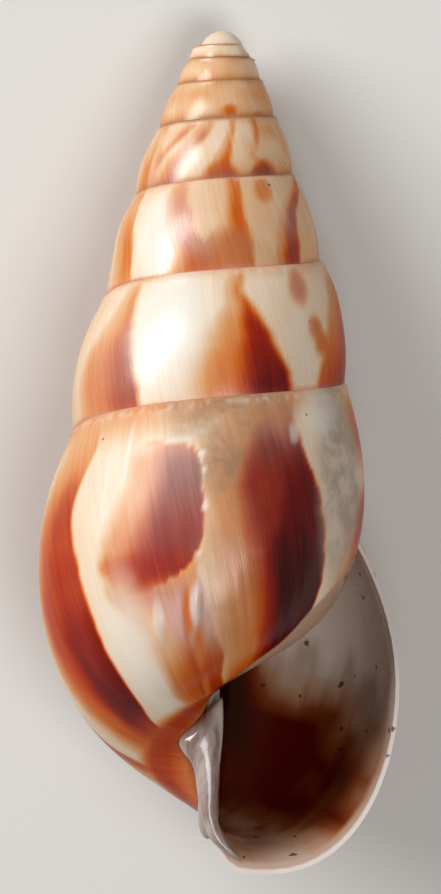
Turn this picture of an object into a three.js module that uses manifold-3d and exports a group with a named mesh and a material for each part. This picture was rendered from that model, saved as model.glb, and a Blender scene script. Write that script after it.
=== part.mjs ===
// Shell of a tall-spired land snail, lying on its back with the mouth facing up.
// Millimetres, +Z up. The shell's length runs along Y with the apex at +Y, and the
// origin is on the ground below the middle of the shell's box.
//
// The shell is one coiled wall. It is described in coil coordinates: the coil axis is z,
// with z = 0 at the level of the apex and negative towards the mouth, and the mouth opens
// towards -y. A place along the coil is its turn, 0 at the lip and negative before it.
// Growth runs clockwise seen from the apex, so the shell is right-handed.
import * as THREE from 'three';
import { mergeVertices } from 'three/addons/utils/BufferGeometryUtils.js';
import Module from 'manifold-3d';

const wasm = await Module();
wasm.setup();

// Growth of the coil
const LIP_RADIUS = 10.04; // widest radius of the last whorl, at the lip
const LIP_SUTURE_DEPTH = 26.53; // depth of the suture below the apex, at the lip
const WIDENING = [0.1008, -0.0526, -0.0043]; // log of the radius: per turn, turn squared and cubed
const DESCENT = [0.3584, -0.0276, -0.0003]; // log of the suture's depth, in the same form
const FIRST_TURN = -7.55; // where the coil starts, at the tip
const NUCLEUS_RISE = 0.45; // the first whorl stands this much above its suture line
const COIL_LEAN = 0.065; // the whorls dip to +x by this share of x
const SWAY = 0.245; // the spire bends to +x by this much around one height
const SWAY_HEIGHT = -12.6;
const SWAY_SPAN = 1.7;
const WAIST = 0.076; // share by which the whorl is flattened just above the mouth
const WAIST_SPAN = 0.407; // in turns

// Section of a whorl, as shares of its radius
const SECTION_HEIGHT = 1.818; // from the suture to the base
const PERIPHERY_DEPTH = 0.758; // from the suture to the widest place
const LIP_SQUAT = 0.006; // loss of height over the last half turn
const BASE_RADIUS = [0.14, 0.2]; // where the base is lowest: up to half a turn from the lip, and at the lip
const BASE_FULLNESS = 2.435; // exponent of the curve from the widest place to the base
const COLUMELLA_RADIUS = 0.01; // where the base curve ends, inside the pillar
const COLUMELLA_RISE = 0.3; // from the lowest place up to that end

// Wall, pillar and the lip turned back over the pillar
const WALL = 0.4; // wall thickness of the last whorls
const WALL_SHARE = 0.1; // of the radius, where that is thinner
const SEAM_DEPTH = 0.25; // how far a whorl is rooted in the wall of the one before
const PILLAR_RADIUS = 0.55; // near its foot
const PILLAR_TIP_RADIUS = 0.2;
const PILLAR_FOOT = -43; // in coil coordinates
const NUCLEUS_RADIUS = 1.25; // the filled first whorl
const NUCLEUS_HEIGHT = 2.8;
const NUCLEUS_TOP = 0.1;
const PILLAR_LIP = [ // middle of the turned lip in coil coordinates, its width and its thickness
  { at: [0.1, 0, -34.8], width: 0.7, thickness: 0.35 },
  { at: [-0.2, -0.5, -38.0], width: 1.45, thickness: 0.4 },
  { at: [-0.2, -0.55, -39.8], width: 1.2, thickness: 0.45 },
  { at: [-0.05, -0.45, -41.4], width: 0.85, thickness: 0.5 },
  { at: [0.4, -0.25, -42.8], width: 0.75, thickness: 0.6 },
  { at: [1.9, 0.25, -44.5], width: 0.5, thickness: 0.5 },
];

// How it lies on the ground
const REST_PITCH = 11.65; // degrees, the apex down
const REST_ROLL = 2; // degrees about the length, the lip down
const REST_WEAR = 0.28; // depth of the flats where it touches the ground

// Facets
const STEPS_PER_TURN = 17;
const STEPS_PER_PIECE = 9;
const SHOULDER_STEPS = 5;
const FLANK_STEPS = 6;
const BASE_STEPS = 3;
const PILLAR_SIDES = 10;
const NUCLEUS_SIDES = 16;
const LIP_SIDES = 10;
const LIP_RINGS = 12;

const smooth = (t) => THREE.MathUtils.smoothstep(t, 0, 1);
const growth = (rate, turn) => Math.exp(rate[0] * turn + rate[1] * turn ** 2 + rate[2] * turn ** 3);

// Heights and radii that frame the whorl section at a turn.
function whorl(turn) {
  const waist = WAIST * Math.exp(-(((turn + 1) / WAIST_SPAN) ** 2));
  const radius = LIP_RADIUS * growth(WIDENING, turn) * (1 - waist);
  const nucleus = NUCLEUS_RISE * (1 - smooth(turn - FIRST_TURN));
  const suture = nucleus - LIP_SUTURE_DEPTH * growth(DESCENT, turn);
  const nearLip = smooth(1 + 2 * turn);
  return {
    radius,
    suture,
    periphery: suture - PERIPHERY_DEPTH * radius,
    base: suture - SECTION_HEIGHT * (1 - LIP_SQUAT * nearLip) * radius,
    baseRadius: THREE.MathUtils.lerp(...BASE_RADIUS, nearLip) * radius,
    wall: Math.min(WALL, WALL_SHARE * radius),
  };
}

// Radius of a whorl's flank at a height between its widest place and its base.
function flankRadius(turn, height) {
  const { radius, periphery, base, baseRadius } = whorl(turn);
  const fall = THREE.MathUtils.clamp((periphery - height) / (periphery - base), 0, 1);
  return baseRadius + (radius - baseRadius) * (1 - fall * fall) ** (1 / BASE_FULLNESS);
}

// Outside of the whorl section at a turn, from the suture to the pillar, as (r, z) points.
function sectionOutline(turn) {
  const { radius, suture, periphery, base, baseRadius } = whorl(turn);
  const rooted = smooth(turn - FIRST_TURN);
  const seat = flankRadius(turn - 1, suture) * rooted;
  const points = [new THREE.Vector2(Math.max(seat - SEAM_DEPTH, 0), suture)];
  for (let i = 0; i < SHOULDER_STEPS; i++) {
    const fall = 1 - Math.cos((i / SHOULDER_STEPS) * (Math.PI / 2));
    const out = 1 - (1 - fall) ** 2;
    points.push(new THREE.Vector2(seat + (radius - seat) * out, suture + (periphery - suture) * fall));
  }
  for (let i = 0; i < FLANK_STEPS; i++) {
    const height = periphery + (base - periphery) * Math.sin((i / FLANK_STEPS) * (Math.PI / 2));
    points.push(new THREE.Vector2(flankRadius(turn, height), height));
  }
  for (let i = 0; i <= BASE_STEPS; i++) {
    const angle = (i / BASE_STEPS) * (Math.PI / 2);
    const inward = (baseRadius - COLUMELLA_RADIUS * radius) * Math.sin(angle);
    const rise = COLUMELLA_RISE * radius * (1 - Math.cos(angle));
    points.push(new THREE.Vector2(baseRadius - inward, base + rise));
  }
  const tip = Math.sqrt(1 - (1 - THREE.MathUtils.clamp((turn - FIRST_TURN) / 0.5, 0, 1)) ** 2);
  const middle = suture - 0.45 * SECTION_HEIGHT * radius;
  return points.map((p) => new THREE.Vector2(p.x * tip, middle + (p.y - middle) * tip));
}

// Inside of the same section: places of the outline moved in by the wall, which thins at the
// pillar. The first place stays in the wall of the whorl before.
function sectionInside(turn, outline) {
  const { wall } = whorl(turn);
  const last = outline.length - 1;
  const inside = [new THREE.Vector2(outline[0].x, outline[0].y - wall)];
  for (let i = 3; i <= last; i += i < SHOULDER_STEPS || i === last - 2 ? 2 : 1) {
    const along = outline[Math.min(i + 1, last)].clone().sub(outline[i - 1]).normalize();
    const thinned = wall * (1 - 0.6 * Math.max(0, (i - last + BASE_STEPS) / BASE_STEPS));
    inside.push(new THREE.Vector2(outline[i].x + along.y * thinned, outline[i].y - along.x * thinned));
  }
  return inside;
}

// A place in the section at a turn as a point in coil coordinates.
function coilPoint(turn, { x: r, y: z }) {
  const angle = 2 * Math.PI * turn;
  const x = r * Math.cos(angle);
  const sway = SWAY * Math.exp(-(((z - SWAY_HEIGHT) / SWAY_SPAN) ** 2));
  return new THREE.Vector3(x + sway, -r * Math.sin(angle), z - COIL_LEAN * x);
}

// Closed solid through a row of rings, closed by the triangles of the first and the last cap.
function ringSolid(rings, firstCap, lastCap) {
  const count = rings[0].length;
  const triangles = [];
  const quad = (a, b, c, d) => triangles.push(a, b, c, a, c, d);
  for (let i = 0; i + 1 < rings.length; i++) {
    for (let j = 0; j < count; j++) {
      const k = (j + 1) % count;
      quad(i * count + j, i * count + k, (i + 1) * count + k, (i + 1) * count + j);
    }
  }
  const end = (rings.length - 1) * count;
  for (const [a, b, c] of firstCap) triangles.push(a, c, b);
  for (const [a, b, c] of lastCap) triangles.push(end + a, end + b, end + c);
  const geometry = new THREE.BufferGeometry().setFromPoints(rings.flat());
  geometry.setIndex(triangles);
  return solidOf(geometry);
}

// A geometry as a solid, turned the right way out.
function solidOf(geometry) {
  const bare = geometry.clone();
  bare.deleteAttribute('normal');
  bare.deleteAttribute('uv');
  const merged = mergeVertices(bare, 1e-5);
  const vertProperties = merged.attributes.position.array;
  const triVerts = new Uint32Array(merged.index.array);
  const solid = new wasm.Manifold(new wasm.Mesh({ numProp: 3, vertProperties, triVerts }));
  if (solid.volume() > 0) return solid;
  return new wasm.Manifold(new wasm.Mesh({ numProp: 3, vertProperties, triVerts: triVerts.reverse() }));
}

// A solid's surface as a three.js geometry.
function geometryOf(solid) {
  const { vertProperties, triVerts } = solid.getMesh();
  const geometry = new THREE.BufferGeometry();
  geometry.setAttribute('position', new THREE.BufferAttribute(vertProperties, 3));
  geometry.setIndex(new THREE.BufferAttribute(triVerts, 1));
  return geometry;
}

// The largest body of a solid, without the closed pockets where walls meet.
function largestBody(solid) {
  return solid.decompose().reduce((largest, body) => (body.volume() > largest.volume() ? body : largest));
}

// One stretch of the coiled wall.
function wallPiece(turns) {
  const sections = turns.map((turn) => {
    const outline = sectionOutline(turn);
    return [...outline, ...sectionInside(turn, outline).reverse()];
  });
  const rings = sections.map((section, i) => section.map((point) => coilPoint(turns[i], point)));
  const caps = [sections[0], sections.at(-1)].map((section) => {
    return THREE.ShapeUtils.triangulateShape(section, []).map(([a, b, c]) => [a, c, b]);
  });
  return ringSolid(rings, ...caps);
}

// The whole coiled wall, in pieces of under a turn that meet ring on ring.
function coiledWall() {
  const steps = Math.ceil(-FIRST_TURN * STEPS_PER_TURN) - 1;
  const turns = Array.from({ length: steps + 1 }, (_, i) => -i / STEPS_PER_TURN);
  const pieces = [];
  for (let i = 0; i < steps; i += STEPS_PER_PIECE) {
    pieces.push(wallPiece(turns.slice(i, i + STEPS_PER_PIECE + 1)));
  }
  return pieces.reduce((joined, piece) => joined.add(piece));
}

// The pillar in the middle of the coil, from inside the tip to the foot of the lip.
function pillar() {
  const tip = -NUCLEUS_HEIGHT / 2;
  const foot = PILLAR_FOOT;
  const rounding = [[0, foot], [0.6 * PILLAR_RADIUS, foot + 0.3], [PILLAR_RADIUS, foot + 1.2]];
  const profile = [...rounding, [PILLAR_TIP_RADIUS, tip], [0, tip]];
  const points = profile.map(([r, z]) => new THREE.Vector2(r, z));
  const geometry = new THREE.LatheGeometry(points, PILLAR_SIDES).rotateX(Math.PI / 2);
  return solidOf(geometry);
}

// The filled first whorl at the tip.
function nucleus() {
  const geometry = new THREE.SphereGeometry(NUCLEUS_RADIUS, NUCLEUS_SIDES, NUCLEUS_SIDES / 2)
    .rotateX(Math.PI / 2)
    .scale(1, 1, NUCLEUS_HEIGHT / NUCLEUS_RADIUS / 2)
    .translate(0, 0, NUCLEUS_TOP - NUCLEUS_HEIGHT / 2);
  return solidOf(geometry);
}

// The lip turned back over the pillar: an oval band along a curve, widest near its top.
function pillarLip() {
  const curve = new THREE.CatmullRomCurve3(PILLAR_LIP.map(({ at }) => new THREE.Vector3(...at)));
  const rings = Array.from({ length: LIP_RINGS + 1 }, (_, i) => {
    const place = (i / LIP_RINGS) * (PILLAR_LIP.length - 1);
    const before = PILLAR_LIP[Math.floor(place)];
    const after = PILLAR_LIP[Math.ceil(place)];
    const width = THREE.MathUtils.lerp(before.width, after.width, place % 1);
    const thickness = THREE.MathUtils.lerp(before.thickness, after.thickness, place % 1);
    const middle = curve.getPoint(i / LIP_RINGS);
    const along = curve.getTangent(i / LIP_RINGS);
    const out = new THREE.Vector3(0, -1, 0);
    const across = new THREE.Vector3().crossVectors(out, along).normalize();
    out.crossVectors(along, across);
    return Array.from({ length: LIP_SIDES }, (__, j) => {
      const angle = (j / LIP_SIDES) * 2 * Math.PI;
      return middle.clone()
        .addScaledVector(across, (Math.cos(angle) * width) / 2)
        .addScaledVector(out, (Math.sin(angle) * thickness) / 2);
    });
  });
  const cap = Array.from({ length: LIP_SIDES - 2 }, (_, j) => [0, j + 1, j + 2]);
  return ringSolid(rings, cap, cap);
}

// The shell turned from coil coordinates to how it lies, with its lowest place worn flat.
function lyingShell(solid) {
  const geometry = geometryOf(solid)
    .rotateX(-Math.PI / 2)
    .rotateY(THREE.MathUtils.degToRad(REST_ROLL))
    .rotateX(THREE.MathUtils.degToRad(-REST_PITCH));
  geometry.computeBoundingBox();
  const { min, max } = geometry.boundingBox;
  geometry.translate(-(min.x + max.x) / 2, -(min.y + max.y) / 2, -min.z - REST_WEAR);
  const ground = new THREE.BoxGeometry(4 * max.x, 4 * (max.y - min.y), 2).translate(0, 0, -1);
  return geometryOf(largestBody(solidOf(geometry).subtract(solidOf(ground))));
}

const shell = new THREE.Mesh(
  lyingShell(coiledWall().add(pillar()).add(nucleus()).add(pillarLip())),
  new THREE.MeshStandardMaterial({ color: 0xc98a5a, roughness: 0.3, metalness: 0 }),
);
shell.name = 'shell';
const part = new THREE.Group();
part.add(shell);

export default part;
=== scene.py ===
"""Dressed model of a tall-spired land snail shell that lies on its back with the mouth up.

The shell is one coiled wall. Its shape is worked out in coil coordinates in millimetres: z runs
along the coil axis, 0 at the apex and negative towards the mouth, and the mouth opens to -y. A
place on the wall has a turn, 0 at the lip and negative before it, and a down value, the distance
from the suture along the section as a share of the whorl's radius.
"""

import logging
import math
from collections.abc import Callable
from dataclasses import dataclass, field
from enum import IntEnum, StrEnum

import bpy
import numpy as np
from mathutils import Matrix, Vector


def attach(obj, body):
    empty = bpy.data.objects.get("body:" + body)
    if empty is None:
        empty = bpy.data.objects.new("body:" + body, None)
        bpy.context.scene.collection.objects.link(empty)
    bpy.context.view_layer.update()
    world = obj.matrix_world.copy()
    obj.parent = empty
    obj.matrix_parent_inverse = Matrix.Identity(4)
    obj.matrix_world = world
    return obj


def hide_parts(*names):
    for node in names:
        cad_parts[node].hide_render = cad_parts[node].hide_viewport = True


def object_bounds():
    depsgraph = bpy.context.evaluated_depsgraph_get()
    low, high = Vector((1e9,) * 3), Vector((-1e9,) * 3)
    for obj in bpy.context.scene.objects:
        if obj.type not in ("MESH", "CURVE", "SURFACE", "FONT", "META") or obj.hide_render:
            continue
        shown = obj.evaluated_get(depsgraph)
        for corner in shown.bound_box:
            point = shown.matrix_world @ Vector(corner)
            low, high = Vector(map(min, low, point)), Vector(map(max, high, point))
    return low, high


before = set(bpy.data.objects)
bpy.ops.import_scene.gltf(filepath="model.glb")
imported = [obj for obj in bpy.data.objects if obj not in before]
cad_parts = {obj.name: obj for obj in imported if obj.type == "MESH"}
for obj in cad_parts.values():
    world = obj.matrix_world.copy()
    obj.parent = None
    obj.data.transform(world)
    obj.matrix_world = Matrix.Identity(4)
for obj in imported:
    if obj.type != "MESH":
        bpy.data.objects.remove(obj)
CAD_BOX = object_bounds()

LOG = logging.getLogger("snail_shell")
Array = np.ndarray
Values = dict[str, Array | float]
Span = tuple[float, float]
Knots = tuple[tuple[float, float], ...]
Colour = tuple[int, int, int]
Stops = tuple[tuple[float, Colour], ...]

# Edge of the healed scar and the groove below it, as pairs of down and turn.
SCAR = (
    (0.24, -0.67), (0.265, -0.695), (0.28, -0.713), (0.31, -0.725), (0.36, -0.733), (0.44, -0.738),
    (0.6, -0.74), (0.85, -0.741), (0.94, -0.739), (1.0, -0.734), (1.06, -0.726), (1.1, -0.714), (1.16, -0.69),
)
GROOVE = ((1.0, -0.712), (1.1, -0.715), (1.35, -0.724), (1.6, -0.737), (2.0, -0.742))

POINT_VALUES = ("pigment", "bloom", "chalk_and_glint", "dull", "wear", "brown_and_shade", "glaze", "along", "fall")


def smoothstep(low: float, high: float, value: Array) -> Array:
    """Cubic ease from 0 at low to 1 at high."""
    t = np.clip((value - low) / (high - low), 0.0, 1.0)
    return t * t * (3.0 - 2.0 * t)


def bell(value: Array, width: Array | float) -> Array:
    """Gaussian hump of height 1 around 0."""
    return np.exp(-((value / width) ** 2))


def through(knots: Knots, x: Array) -> Array:
    """Smooth curve through knots: cubic pieces whose slopes come from the neighbouring knots.

    Args:
        knots: Pairs of place and value, by rising place.
        x: Places to evaluate, held at the ends outside the knots.

    Returns:
        Values of the shape of x.
    """
    at, value = np.array(knots, float).T
    x = np.clip(x, at[0], at[-1])
    slope = np.gradient(value, at)
    i = np.clip(np.searchsorted(at, x) - 1, 0, len(at) - 2)
    step = at[i + 1] - at[i]
    t = (x - at[i]) / step
    ease = t * t * (3.0 - 2.0 * t)
    bend = t * (1 - t) * ((1 - t) * slope[i] - t * slope[i + 1]) * step
    return value[i] * (1 - ease) + value[i + 1] * ease + bend


def scaled(knots: Knots, by: float = 1.0, plus: float = 0.0) -> Knots:
    """Knots with their values multiplied and moved."""
    return tuple((place, by * value + plus) for place, value in knots)


class Grain:
    """Seeded smooth noise between -1 and 1 on a plane."""

    def __init__(self, seed: int, size: int = 257) -> None:
        """Fill the lattice.

        Args:
            seed: Seed of the lattice values.
            size: Lattice points along each side.
        """
        self.size = size
        self.lattice = np.random.default_rng(seed).uniform(-1.0, 1.0, (size, size))

    def at(self, x: Array, y: Array) -> Array:
        """Value noise: lattice values eased between the four corners of each cell.

        Args:
            x: First coordinate, one lattice cell per unit.
            y: Second coordinate, of the same shape.

        Returns:
            Noise values of the broadcast shape.
        """
        x, y = np.broadcast_arrays(x, y)
        cell_x, cell_y = np.floor(x).astype(int), np.floor(y).astype(int)
        fx, fy = smoothstep(0.0, 1.0, x - cell_x), smoothstep(0.0, 1.0, y - cell_y)
        x0, x1 = cell_x % self.size, (cell_x + 1) % self.size
        y0, y1 = cell_y % self.size, (cell_y + 1) % self.size
        low = self.lattice[x0, y0] * (1 - fx) + self.lattice[x1, y0] * fx
        high = self.lattice[x0, y1] * (1 - fx) + self.lattice[x1, y1] * fx
        return low * (1 - fy) + high * fy


@dataclass(frozen=True)
class Cells:
    """Cells of noise on the wall: millimetres along and down the whorl, a shift and a gain."""

    along: float
    fall: float
    shift: float = 0.0
    gain: float = 1.0


@dataclass(frozen=True)
class Growth:
    """Law by which the coil widens and descends, and the section of a whorl.

    Section sizes are shares of the whorl's radius, spans are turns and lengths are millimetres. The
    line slant is the share of the fall by which growth lines run back, and it fades at the lip.
    """

    lip_radius: float = 10.04
    lip_suture_depth: float = 26.53
    widening: tuple[float, float, float] = (0.1008, -0.0526, -0.0043)
    descent: tuple[float, float, float] = (0.3584, -0.0276, -0.0003)
    first_turn: float = -7.55
    nucleus_rise: float = 0.45
    lean: float = 0.065
    sway: float = 0.245
    sway_height: float = -12.6
    sway_span: float = 1.7
    waist: float = 0.076
    waist_span: float = 0.407
    section_height: float = 1.818
    periphery_depth: float = 0.758
    lip_squat: float = 0.006
    base_radius: Span = (0.14, 0.2)
    base_fullness: float = 2.435
    columella_radius: float = 0.01
    columella_rise: float = 0.3
    seam_depth: float = 0.25
    wall: float = 0.4
    wall_share: float = 0.1
    first_swell: float = 0.5
    swell_middle: float = 0.45
    line_slant: float = 0.22
    line_slant_fade: float = 0.1

    def near_lip(self, turn: Array) -> Array:
        """Ease from 0 half a turn before the lip to 1 at the lip."""
        return smoothstep(0.0, 1.0, 1.0 + 2.0 * turn)

    def radius(self, turn: Array) -> Array:
        """Widest radius: exponential growth, flattened a little above the mouth."""
        grown = self.lip_radius * np.exp(np.polyval((*self.widening[::-1], 0.0), turn))
        return grown * (1.0 - self.waist * bell(turn + 1.0, self.waist_span))

    def suture(self, turn: Array) -> Array:
        """Height of the suture: exponential descent, raised at the first whorl.

        Args:
            turn: Places along the coil.

        Returns:
            Heights of the shape of turn.
        """
        depth = self.lip_suture_depth * np.exp(np.polyval((*self.descent[::-1], 0.0), turn))
        rise = self.nucleus_rise * (1.0 - smoothstep(0.0, 1.0, turn - self.first_turn))
        return rise - depth

    def periphery(self, turn: Array) -> Array:
        """Height of the widest place of the section."""
        return self.suture(turn) - self.periphery_depth * self.radius(turn)

    def base(self, turn: Array) -> Array:
        """Lowest height of the section, a little squat over the last half turn."""
        squat = 1.0 - self.lip_squat * self.near_lip(turn)
        return self.suture(turn) - self.section_height * squat * self.radius(turn)

    def base_ring(self, turn: Array) -> Array:
        """Radius at which the section is lowest, wider over the last half turn.

        Args:
            turn: Places along the coil.

        Returns:
            Radii of the shape of turn.
        """
        early, lip = self.base_radius
        share = early + (lip - early) * self.near_lip(turn)
        return share * self.radius(turn)

    def wall_thickness(self, turn: Array) -> Array:
        """Wall thickness: even on the last whorls, a share of the radius on the small ones."""
        return np.minimum(self.wall, self.wall_share * self.radius(turn))

    def flank_radius(self, turn: Array, height: Array) -> Array:
        """Radius of the flank: a superellipse from the widest place down to the base.

        Args:
            turn: Places along the coil.
            height: Heights on the section at those places.

        Returns:
            Radii, the widest radius above the widest place.
        """
        radius, top, low = self.radius(turn), self.periphery(turn), self.base(turn)
        fall = np.clip((top - height) / (top - low), 0.0, 1.0)
        inner = self.base_ring(turn)
        return inner + (radius - inner) * (1.0 - fall**2) ** (1.0 / self.base_fullness)

    def outline(self, turn: Array, shoulder: int, flank: int, base: int) -> Array:
        """Outside of the section from the suture to the pillar.

        A parabola runs from the suture to the widest place, a superellipse on to the base and a
        quarter ellipse from there up to the pillar. The first place is rooted in the wall of
        the whorl before, and the first half turn swells from a point.

        Args:
            turn: Places along the coil, one per ring.
            shoulder: Places on the parabola.
            flank: Places on the superellipse.
            base: Places on the quarter ellipse.

        Returns:
            Array of rings by places by (radius, height).
        """
        t = turn[:, None]
        radius, suture = self.radius(t), self.suture(t)
        periphery, low = self.periphery(t), self.base(t)
        seat = self.flank_radius(t - 1.0, suture) * smoothstep(0.0, 1.0, t - self.first_turn)
        fall = 1.0 - np.cos(np.linspace(0.0, math.pi / 2, shoulder, endpoint=False))[None]
        top_r = seat + (radius - seat) * (1.0 - (1.0 - fall) ** 2)
        top_z = suture + (periphery - suture) * fall
        sweep = np.sin(np.linspace(0.0, math.pi / 2, flank, endpoint=False))[None]
        side_z = periphery + (low - periphery) * sweep
        side_r = self.flank_radius(t, side_z)
        angle = np.linspace(0.0, math.pi / 2, base)[None]
        ring = self.base_ring(t)
        base_r = ring - (ring - self.columella_radius * radius) * np.sin(angle)
        base_z = low + radius * self.columella_rise * (1.0 - np.cos(angle))
        root_r, root_z = np.maximum(seat - self.seam_depth, 0.0), suture
        r = np.concatenate([root_r, top_r, side_r, base_r], axis=1)
        z = np.concatenate([root_z, top_z, side_z, base_z], axis=1)
        swell = np.sqrt(1.0 - (1.0 - np.clip((t - self.first_turn) / self.first_swell, 0.0, 1.0)) ** 2)
        middle = suture - self.swell_middle * self.section_height * radius
        return np.stack([r * swell, middle + (z - middle) * swell], axis=-1)

    def coil(self, turn: Array, section: Array) -> Array:
        """Carry sections round the coil: the turn is the angle, and the whorls lean to +x.

        Around one height the spire bends to +x by a hump.

        Args:
            turn: Places along the coil, one per ring.
            section: Array of rings by places by (radius, height).

        Returns:
            Array of rings by places by (x, y, z).
        """
        angle = 2.0 * math.pi * turn[:, None]
        x = section[..., 0] * np.cos(angle)
        y = -section[..., 0] * np.sin(angle)
        sway = self.sway * bell(section[..., 1] - self.sway_height, self.sway_span)
        return np.stack([x + sway, y, section[..., 1] - self.lean * x], axis=-1)


@dataclass(frozen=True)
class Lie:
    """How the coil lies in the row frame: turned mouth up, rolled, pitched and set down."""

    pitch_deg: float = 11.65
    roll_deg: float = 2.0
    offset_mm: tuple[float, float, float] = (-0.40052, 21.89685, 3.1)

    def rotation(self) -> Array:
        """Turn coil axes to row axes.

        Returns:
            Rotation matrix of three by three.
        """
        mouth_up = Matrix.Rotation(-math.pi / 2, 3, "X")
        rolled = Matrix.Rotation(math.radians(self.roll_deg), 3, "Y")
        pitched = Matrix.Rotation(-math.radians(self.pitch_deg), 3, "X")
        return np.array(pitched @ rolled @ mouth_up)

    def place(self, points: Array) -> Array:
        """Coil points in millimetres as row points in metres.

        Args:
            points: Array that ends in (x, y, z).

        Returns:
            Row points of the same shape.
        """
        return (points @ self.rotation().T + np.array(self.offset_mm)) * 0.001


class Finish(IntEnum):
    """Material slots of the shell, in the order of its mesh's materials."""

    OUTSIDE = 0
    LINING = 1
    TURNED_LIP = 2


def grid_faces(rows: int, columns: int, start: int = 0, wrap: bool = False) -> Array:
    """Quads between the neighbours of a grid whose points are numbered row by row.

    Args:
        rows: Rows of points.
        columns: Points in a row.
        start: Number of the first point.
        wrap: Whether the last column joins the first.

    Returns:
        Array of quads by four corners, which turn from the rows to the columns.
    """
    i = np.arange(rows - 1)[:, None]
    j = np.arange(columns if wrap else columns - 1)[None]
    k = (j + 1) % columns
    corners = [i * columns + j, (i + 1) * columns + j, (i + 1) * columns + k, i * columns + k]
    return np.stack(np.broadcast_arrays(*corners), axis=-1).reshape(-1, 4) + start


def plain_values(**given: Array | float) -> Values:
    """Point values of a bare body: those given, and 0 for the others."""
    return {**dict.fromkeys(POINT_VALUES, 0.0), **given}


@dataclass
class Stock:
    """Points, faces and point values gathered for one mesh."""

    points: list[Array] = field(default_factory=list)
    faces: list[list[int]] = field(default_factory=list)
    finish: list[int] = field(default_factory=list)
    values: dict[str, list[Array]] = field(default_factory=dict)
    count: int = 0

    def add_points(self, points: Array, values: Values) -> int:
        """Take in points with their values.

        Args:
            points: Array that ends in (x, y, z), in coil coordinates.
            values: Arrays of one value per point, or single values, by name.

        Returns:
            Number of the first point.
        """
        start = self.count
        shape = points.shape[:-1]
        self.points.append(points.reshape(-1, 3))
        self.count += self.points[-1].shape[0]
        for name, value in values.items():
            self.values.setdefault(name, []).append(np.broadcast_to(value, shape).reshape(-1))
        return start

    def add_faces(self, faces: Array | list[list[int]], finish: Finish) -> None:
        """Take in faces of one finish.

        Args:
            faces: Numbers of each face's corners.
            finish: Finish of the faces.
        """
        rows = faces.tolist() if isinstance(faces, np.ndarray) else faces
        self.faces.extend(rows)
        self.finish.extend([int(finish)] * len(rows))

    def add_lathe(self, profile: Array, sides: int, finish: Finish, values: Values) -> None:
        """Take in a closed round body: a profile of (radius, height) with both ends on the axis.

        Args:
            profile: Radii and heights, from the lowest place up.
            sides: Places around.
            finish: Finish of the faces.
            values: Point values, the same all over.
        """
        angle = np.linspace(0.0, 2.0 * math.pi, sides, endpoint=False)[None]
        r, z = profile[1:-1, 0, None], profile[1:-1, 1, None] + 0.0 * angle
        body = np.stack([r * np.cos(angle), r * np.sin(angle), z], axis=-1)
        poles = np.array([[0.0, 0.0, profile[0, 1]], [0.0, 0.0, profile[-1, 1]]])
        start = self.add_points(body, values)
        low = self.add_points(poles, values)
        rows = len(profile) - 2
        self.add_faces(grid_faces(rows, sides, start, wrap=True)[:, ::-1], finish)
        rim = np.arange(sides)
        around = (rim + 1) % sides
        top = start + (rows - 1) * sides
        self.add_faces(np.stack([start + around, start + rim, np.full(sides, low)], axis=-1), finish)
        self.add_faces(np.stack([top + rim, top + around, np.full(sides, low + 1)], axis=-1), finish)

    def mesh(self, name: str, lie: Lie, sharp_deg: float = 50.0) -> bpy.types.Mesh:
        """Make the mesh in the row frame, with nothing under the ground.

        Args:
            name: Name of the mesh.
            lie: How coil coordinates lie in the row frame.
            sharp_deg: Angle from which an edge between faces stays sharp.

        Returns:
            Mesh with its finishes and point values.
        """
        points = lie.place(np.concatenate(self.points))
        points[:, 2] = np.maximum(points[:, 2], 0.0)
        mesh = bpy.data.meshes.new(name)
        mesh.from_pydata(points.tolist(), [], self.faces)
        mesh.polygons.foreach_set("material_index", np.array(self.finish, np.int32))
        for key, arrays in self.values.items():
            layer = mesh.attributes.new(key, "FLOAT", "POINT")
            layer.data.foreach_set("value", np.concatenate(arrays).astype(np.float32))
        mesh.shade_smooth()
        mesh.set_sharp_from_angle(angle=math.radians(sharp_deg))
        mesh.validate()
        return mesh


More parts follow.
